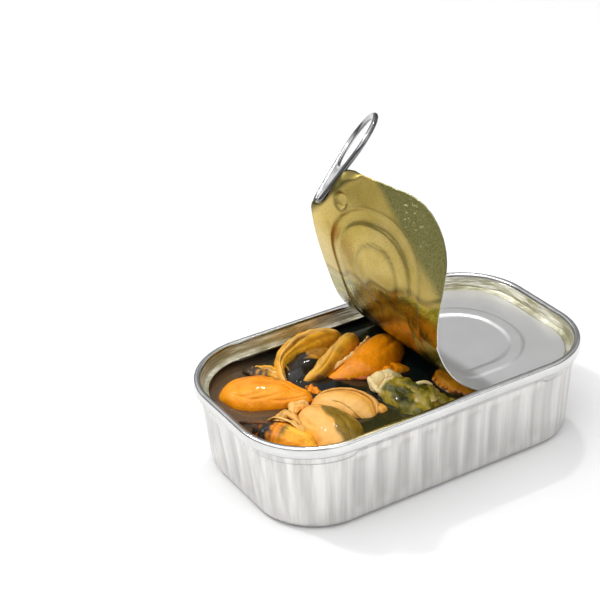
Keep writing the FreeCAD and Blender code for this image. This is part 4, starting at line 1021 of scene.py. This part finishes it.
strings = [lobe([(x, y, .6, .3, .3), (x + 1.0, y + 2.2, 1.2, .34, .3), (x + 1.3, y + 4.8, 1.4, .3, .3),
        (x + 2.6, y + 6.6, 1.6, .3, .3)], lumps=(.06, 2), seed=60 + i, n=40, m=14,
        paint=lambda a, v, P: {"dark": .55, "deep": .4}) for i,
    (x, y) in enumerate(((-24.2, 12.4), (-21.4, 12.6)))]
meat("open", "open", "orange", [far, near, gut, *strings], yellow_flesh)

# %% [markdown]
# The peach-coloured mussel is plain, with a few raised edges that follow its body. They
# are laid on it by `on_lobe`, from the same rows, so they can't come away from it.

# %% Peach mussel
PEACH_ROWS = [(-27, -1.6, -1.4, 2.2, 2.0), (-23, -4, -.7, 4.2, 3.6), (-19.2, -7.4, -.4, 5.0, 4.2),
    (-16.8, -11.8, -.7, 4.8, 3.8), (-16.4, -16.4, -1.8, 2.8, 2.6)]
# painted shade in three folds, painted highlight along the top
peach = lobe(PEACH_ROWS, folds=[(62, .10, 6, 6, .05, .9), (82, .07, 4, 8, .1, .8),
        (40, .08, 7, 6, .2, .95), (10, .10, 9, 8, .65, 1)], lumps=(.14, 7), seed=21, n=170, m=120,
    paint=lambda a, v, P: {"pale": .35 * bell(a, 120, 30),
        "deep": .6 * bell(a, 62, 5) + .35 * bell(a, 40, 7) + .35 * wet(P, .8, 1.3),
        "olive": .25 * bell(a, 84, 4) * ease((v - .2) / .2)})
knob = lobe([(-15.4, -11.6, -1.2, 1.5, 1.6), (-12.9, -13.8, -.8, 1.9, 2.0),
        (-11.6, -15.8, -1.4, 1.2, 1.4)], folds=[(90, .12, 14, 8, 0, 1)], lumps=(.15, 3), seed=23, n=60,
    m=60, paint=lambda a, v, P: {"deep": .35 + .3 * cloud(P, 3, 3)})
# painted highlight along the ridges' tops, painted shade on their lower sides
ridges = [lobe(on_lobe(PEACH_ROWS, angles, spans, half, out=.1), roll=roll, lumps=(.08, 3),
        ruffle=(.08, 6), seed=25 + i, n=150, m=34,
        paint=lambda a, v, P: {"deep": .7 * bell(a, 200, 50) + .25 * blots(P, 3, 4),
        "pale": .4 * bell(a, 80, 45), "olive": .25 * bell(a, 180, 40)}) for i,
    (angles, spans, half, roll) in enumerate((((34, 16), (.04, .97), (.75, .62), -30),
        ((58, 46), (.10, .93), (.5, .42), -20), ((120, 150), (.3, .92), (.35, .3), 10)))]
meat("peach", "peach", "pale", [peach, knob, *ridges], peach_flesh)

# %% [markdown]
# One mussel is pale on the left and olive on the right, with a sharp line between. The
# line is a mask on the place, not a seam. Two curled scraps of skin lie beside it.

# %% Half-and-half mussel
# painted highlight along the top
green = lobe([(-31.5, -4.2, -1, 3.6, 2.6), (-30, -8.4, -.4, 5.8, 4), (-28.8, -14, -.3, 6.6, 4.6),
        (-28.4, -20, -.9, 6.6, 4.3), (-28.4, -25, -2, 4.6, 3.4)],
    folds=[(76, .05, 5, 6, .1, .95), (130, .04, 6, 10, .1, .6)], lumps=(.15, 7), seed=29, n=170,
    m=130, paint=lambda a, v, P: {"olive": .9 * ease((P[..., 0] + 29.6 - .16 * (P[..., 1] + 14)
        + .35 * cloud(P, 6, 3)) / 1.2) * ease((-7.5 - P[..., 1]) / 1.6 + 1),
        "pale": .35 * bell(a, 115, 25), "deep": .30 * wet(P, .9, 1.6) + .15 * blots(P, 6, 9),
        "dark": .35 * bell(P[..., 0] + 25.5, 0, .5) * bell(P[..., 1] + 15.5, 0, 1.6)})
# painted highlight on top, painted shade underneath and in its fold
curl_a = lobe([(-33.4, -4.6, 1.0, .9, .7), (-32.0, -3.0, 1.6, 1.9, 1.0), (-30.0, -2.8, 1.6, 1.9, 1.0),
        (-28.4, -4.2, 1.0, 1.2, .7)], folds=[(90, .25, 18, 6, .1, .9)], lumps=(.2, 2.6),
    ruffle=(.2, 3), seed=31, n=80, m=54,
    paint=lambda a, v, P: {"pale": .4 * bell(a, 60, 60),
        "deep": .45 * bell(a, 270, 60) + .6 * bell(a, 92, 9)})
# painted highlight on top, painted shade in its fold
curl_b = lobe([(-38.2, -6.8, -.3, .9, .7), (-37.6, -4.8, .9, 1.7, .9), (-36.2, -4.2, 1.7, 1.8, .9),
        (-35.0, -5.8, 2.0, 1.3, .7), (-35.0, -8.6, 1.9, .8, .5), (-35.0, -12.0, 1.6, .5, .4),
        (-34.2, -16.0, 1.0, .4, .35)], roll=-15, folds=[(80, .3, 16, 8, .1, .6)], lumps=(.2, 2.6),
    ruffle=(.2, 4), seed=33, n=110, m=54,
    paint=lambda a, v, P: {"pale": .4 * bell(a, 120, 50),
        "olive": .5 * bell(a, 80, 12) * ease((.6 - v) / .2) + .3 * ease((v - .6) / .2), "deep": .25})
meat("half", "green", "pale", [green, curl_a, curl_b], peach_flesh)

# %% [markdown]
# The mussel in the corner has black and brown bands across it, an orange end, a pale
# flap, and dark threads of its beard: bands are masks along it, threads are thin lobes.

# %% Striped mussel
# painted shade in the fold on the orange end
striped = lobe([(-45.6, -2.4, -1.6, 1.6, 1.6), (-43.6, -6.2, -.7, 3.6, 3.2), (-41, -10.8, -.3, 4.6, 4),
        (-38.2, -16, -.8, 4.2, 3.7), (-36, -20.6, -2.2, 2.6, 2.6)],
    folds=[(90, .12, 7, 6, .3, .95), (62, .12, 7, 8, .3, .9), (120, .08, 7, 8, .3, .9)], lumps=(.2, 4),
    seed=37, n=150, m=100,
    paint=lambda a, v, P: {"dark": ease(1.7 - 12 * np.abs(v + .025 * cloud(P, 3, 2) - .33))
        + ease(1.5 - 12 * np.abs(v - .14 + .02 * cloud(P, 2, 5)))
        + .7 * crease(P, 3, 8) * ease((.42 - v) / .05),
        "deep": 1.2 * bell(v, .22, .05) + .8 * bell(v, .44, .015) + .6 * bell(v, .50, .012)
        + .6 * bell(a, 62, 7) * ease((v - .5) / .1) + .5 * crease(P, 6, 12) * ease((v - .5) / .1),
        "pale": .9 * bell(a, 85, 45) * ease((v - .54) / .04),
        "olive": .9 * bell(v, .55, .035) * bell(a, 105, 40)})
threads = [lobe([(-46.8 + .2 * i, 1.2 - .7 * i, .3, .25, .25),
        (-45.4 + .2 * i, -1.2 - .9 * i, 1.2 + .2 * i, .4, .3),
        (-43.6 + .3 * i, -3.4 - 1.1 * i, 2.0 + .2 * i, .35, .3),
        (-42.4 + .3 * i, -5.6 - 1.0 * i, 2.4, .25, .25)], lumps=(.08, 2), seed=70 + i, n=50, m=16,
        paint=lambda a, v, P: {"dark": 1 - .3 * v, "deep": .5}) for i in range(3)]
flap = lobe([(-41.6, -4.6, 2.0, .5, .3), (-39.8, -6.6, 3.2, 1.6, .35), (-38.2, -9.8, 3.5, 1.8, .35),
        (-37.2, -13.2, 3.0, 1.4, .35), (-36.6, -16.6, 2.0, .8, .3)], roll=-35, lumps=(.14, 3),
    ruffle=(.25, 4), seed=39, n=90, m=36,
    paint=lambda a, v, P: {"pale": .65 * bell(v, .5, .4), "olive": .55 * bell(a, 0, 40) * bell(v, .35, .2)})
meat("striped", "striped", "orange", [striped, (*flap[:2], 1, True), *threads], orange_flesh, peach_flesh)

# %% [markdown]
# The olive mussel is wrinkled, with a pale lip behind, a dark hollow, and a frill that
# curls nearly once round. The frill is a flat lobe with a ruffled edge on a curled line.

# %% Olive mussel with its curled frill
# the dark spot at the hollow is painted shade, and the pale arc on its right a painted highlight
olive = lobe([(-6.4, -4.4, -.9, 3.0, 2.6), (-5, -8.4, -.5, 4.9, 4), (-3.4, -13.6, -.7, 6, 4.1),
        (-2.6, -19.4, -1.4, 6, 3.7), (-1.4, -24, -2.6, 3.6, 2.8)],
    folds=[(80, .10, 8, 14, .25, .95), (112, .10, 8, 12, .3, .9), (50, .08, 7, 12, .3, .9)],
    lumps=(.32, 4), seed=41, n=170, m=130,
    paint=lambda a, v, P: {"pale": .9 * ease((P[..., 1] + 8.6 - .55 * (P[..., 0] + 6)
        + 1.1 * cloud(P, 5, 3)) / 1.6) + .7 * bell(np.hypot(P[..., 0] + 6.6, P[..., 1] + 16.2), 3.2, .45)
        * ease((P[..., 0] + 6) / 1.5), "olive": blots(P, 4, 8, .5) * ease((-7 - P[..., 1]) / 3),
        "dark": .9 * bell(np.hypot(P[..., 0] + 6.6, P[..., 1] + 16.2), 0, 1.9)
        + .3 * blots(P, 2.4, 12, -.2) * bell(P[..., 1], -13, 4), "deep": .7 * blots(P, 3, 14)})
pale_lip = lobe([(-8.9, -8.8, .6, .7, .8), (-9.0, -5.6, 1.3, 1.3, 1.2), (-7.0, -3.4, 1.7, 1.6, 1.3),
        (-4.2, -3.4, 2.0, 1.5, 1.2), (-2.0, -5.2, 2.0, 1.2, 1.0), (-.6, -7.8, 1.6, .7, .7)],
    folds=[(60, .14, 14, 20, .1, .9)], lumps=(.35, 3), seed=42, n=110, m=56,
    paint=lambda a, v, P: {"pale": 1 - .5 * ease((v - .6) / .3), "olive": .5 * ease((v - .7) / .2)})
ring_frill = lobe([(1.4, -12.4, .8, .8, .3), (2.8, -14.6, 1.7, 1.5, .34), (1.8, -18.0, 2.2, 1.8, .36),
        (-1.0, -19.6, 2.4, 1.8, .36), (-3.6, -17.8, 2.6, 1.6, .34), (-3.6, -14.6, 2.6, 1.3, .32),
        (-1.4, -12.8, 2.2, .8, .3)], roll=-35, lumps=(.18, 2.4), ruffle=(.3, 7), seed=43, n=150, m=36,
    paint=lambda a, v, P: {"pale": .95 * bell((a + 180) % 360, 180, 60),
        "olive": .45 * bell(a, 180, 60) + .3 * blots(P, 3, 4), "deep": .5 * ease(.3 + cloud(P, 4, 5))})
tentacle = lobe([(-1.6, -12.6, 2.2, .4, .35), (0.2, -13.0, 2.8, .5, .42), (2.0, -13.8, 2.9, .55, .45),
        (3.4, -15.2, 2.4, .4, .35)], lumps=(.05, 6), seed=47, n=40, m=20, paint=lambda a, v, P: {"pale": 1})
tail = lobe([(.8, -17.2, .6, 1.2, .8), (2.2, -19.6, .9, 1.8, 1.1), (3.6, -22.4, .4, 1.6, 1.0),
        (5.4, -24.6, -.6, .8, .8)], folds=[(80, .2, 16, 10, 0, 1)], lumps=(.3, 2.6), seed=49, n=80,
    m=44, paint=lambda a, v, P: {"olive": .6 + .3 * cloud(P, 3, 3), "deep": .4})
meat("olive", "olive", "olive", [olive, pale_lip, ring_frill, tentacle, tail], olive_flesh)

# %% [markdown]
# Scraps lie between the mussels, and one more mussel shows by half beside the flap. They
# are small lobes, coarser than the others, since nobody sees them close.

# %% Slips, bits and the half under the lid
# painted shade in two folds, painted highlight on the ridge between them
slip = lobe([(-32, 21.4, -1.2, 1.4, 1.5), (-29.8, 20.4, -.8, 2.6, 2.2), (-27.4, 17.6, -.7, 2.8, 2.3),
        (-26.2, 14.2, -.8, 2.2, 2), (-26.2, 11.8, -1.2, 1.4, 1.6)],
    folds=[(80, .20, 8, 8, 0, 1), (112, .18, 8, 10, 0, 1), (50, .18, 8, 10, 0, 1),
        (140, .14, 8, 8, 0, 1)], lumps=(.22, 3), seed=51, n=110, m=100,
    paint=lambda a, v, P: {"dark": .95 * ease((-30.2 - P[..., 0] + .5 * cloud(P, 3, 5)) / .8),
        "pale": .5 * bell(a, 95, 12) + .4 * ease((v - .6) / .2),
        "deep": .6 * bell(a, 80, 7) + .5 * bell(a, 112, 7)})
shred = lobe([(-33.4, 22.6, .1, .7, .4), (-31.6, 20.2, 1.0, 1.5, .5), (-29.6, 17.8, 1.0, 1.4, .45),
        (-28.0, 15.6, .7, .7, .4)], roll=20, lumps=(.15, 2.4), ruffle=(.2, 5), seed=52, n=70, m=30,
    paint=lambda a, v, P: {"dark": .96 * ease(1.6 - 1.4 * v + .4 * cloud(P, 2, 3)), "deep": .4})
meat("slip", "slip", "pale", [slip, shred], yellow_flesh)

# painted highlight along the top
under = lobe([(13.5, -5.5, -2, 1.8, 1.8), (10.6, -10, -1.4, 3.6, 3.0), (10.1, -15.5, -1.4, 4.2, 3.1),
        (12, -20.5, -1.8, 3.4, 2.7), (14.5, -24, -2.4, 1.8, 1.8)], folds=[(140, .12, 8, 6, 0, 1)],
    lumps=(.16, 4), seed=53, n=110, m=90,
    paint=lambda a, v, P: {"dark": .9 * ease((.6 - (P[..., 2] - OIL) + .3 * cloud(P, 1.6, 3)) / .5),
        "deep": .3 * blots(P, 4, 7) + .4 * bell(a, 60, 30), "pale": .5 * bell(a, 110, 26)})
meat("under", "under", "orange", [under], orange_flesh)

bit = lobe([(-5.4, -1.0, -1, 1.4, 1.3), (-2.0, .6, -.5, 2.5, 2.2), (2.0, .2, -.6, 2.6, 2.1),
        (5.6, -2.6, -1.2, 1.5, 1.4)], lumps=(.2, 3), seed=57, n=90, m=70,
    folds=[(90, .1, 9, 10, .3, .8), (55, .1, 9, 10, .5, .9)],
    paint=lambda a, v, P: {"deep": .6 * bell(v, .52, .06) + .3 * ease((v - .6) / .2),
        "olive": .45 * ease((v - .62) / .2)})
meat("bit", "bit", "orange", [bit], orange_flesh)

frill = lobe([(-22.6, 7, -1.4, .9, 1.2), (-22.6, 4.4, -.7, 1.5, 1.7), (-21.4, 1.4, -.8, 1.4, 1.5)],
    folds=[(80, .22, 10, 16, 0, 1), (115, .2, 9, 10, 0, 1), (50, .2, 9, 10, 0, 1)], lumps=(.25, 2),
    seed=61, n=80, m=70,
    paint=lambda a, v, P: {"deep": .7 * blots(P, 2, 3), "dark": .6 * blots(P, 2.4, 9, -.2)})
meat("frill", "frill", "orange", [frill], orange_flesh)
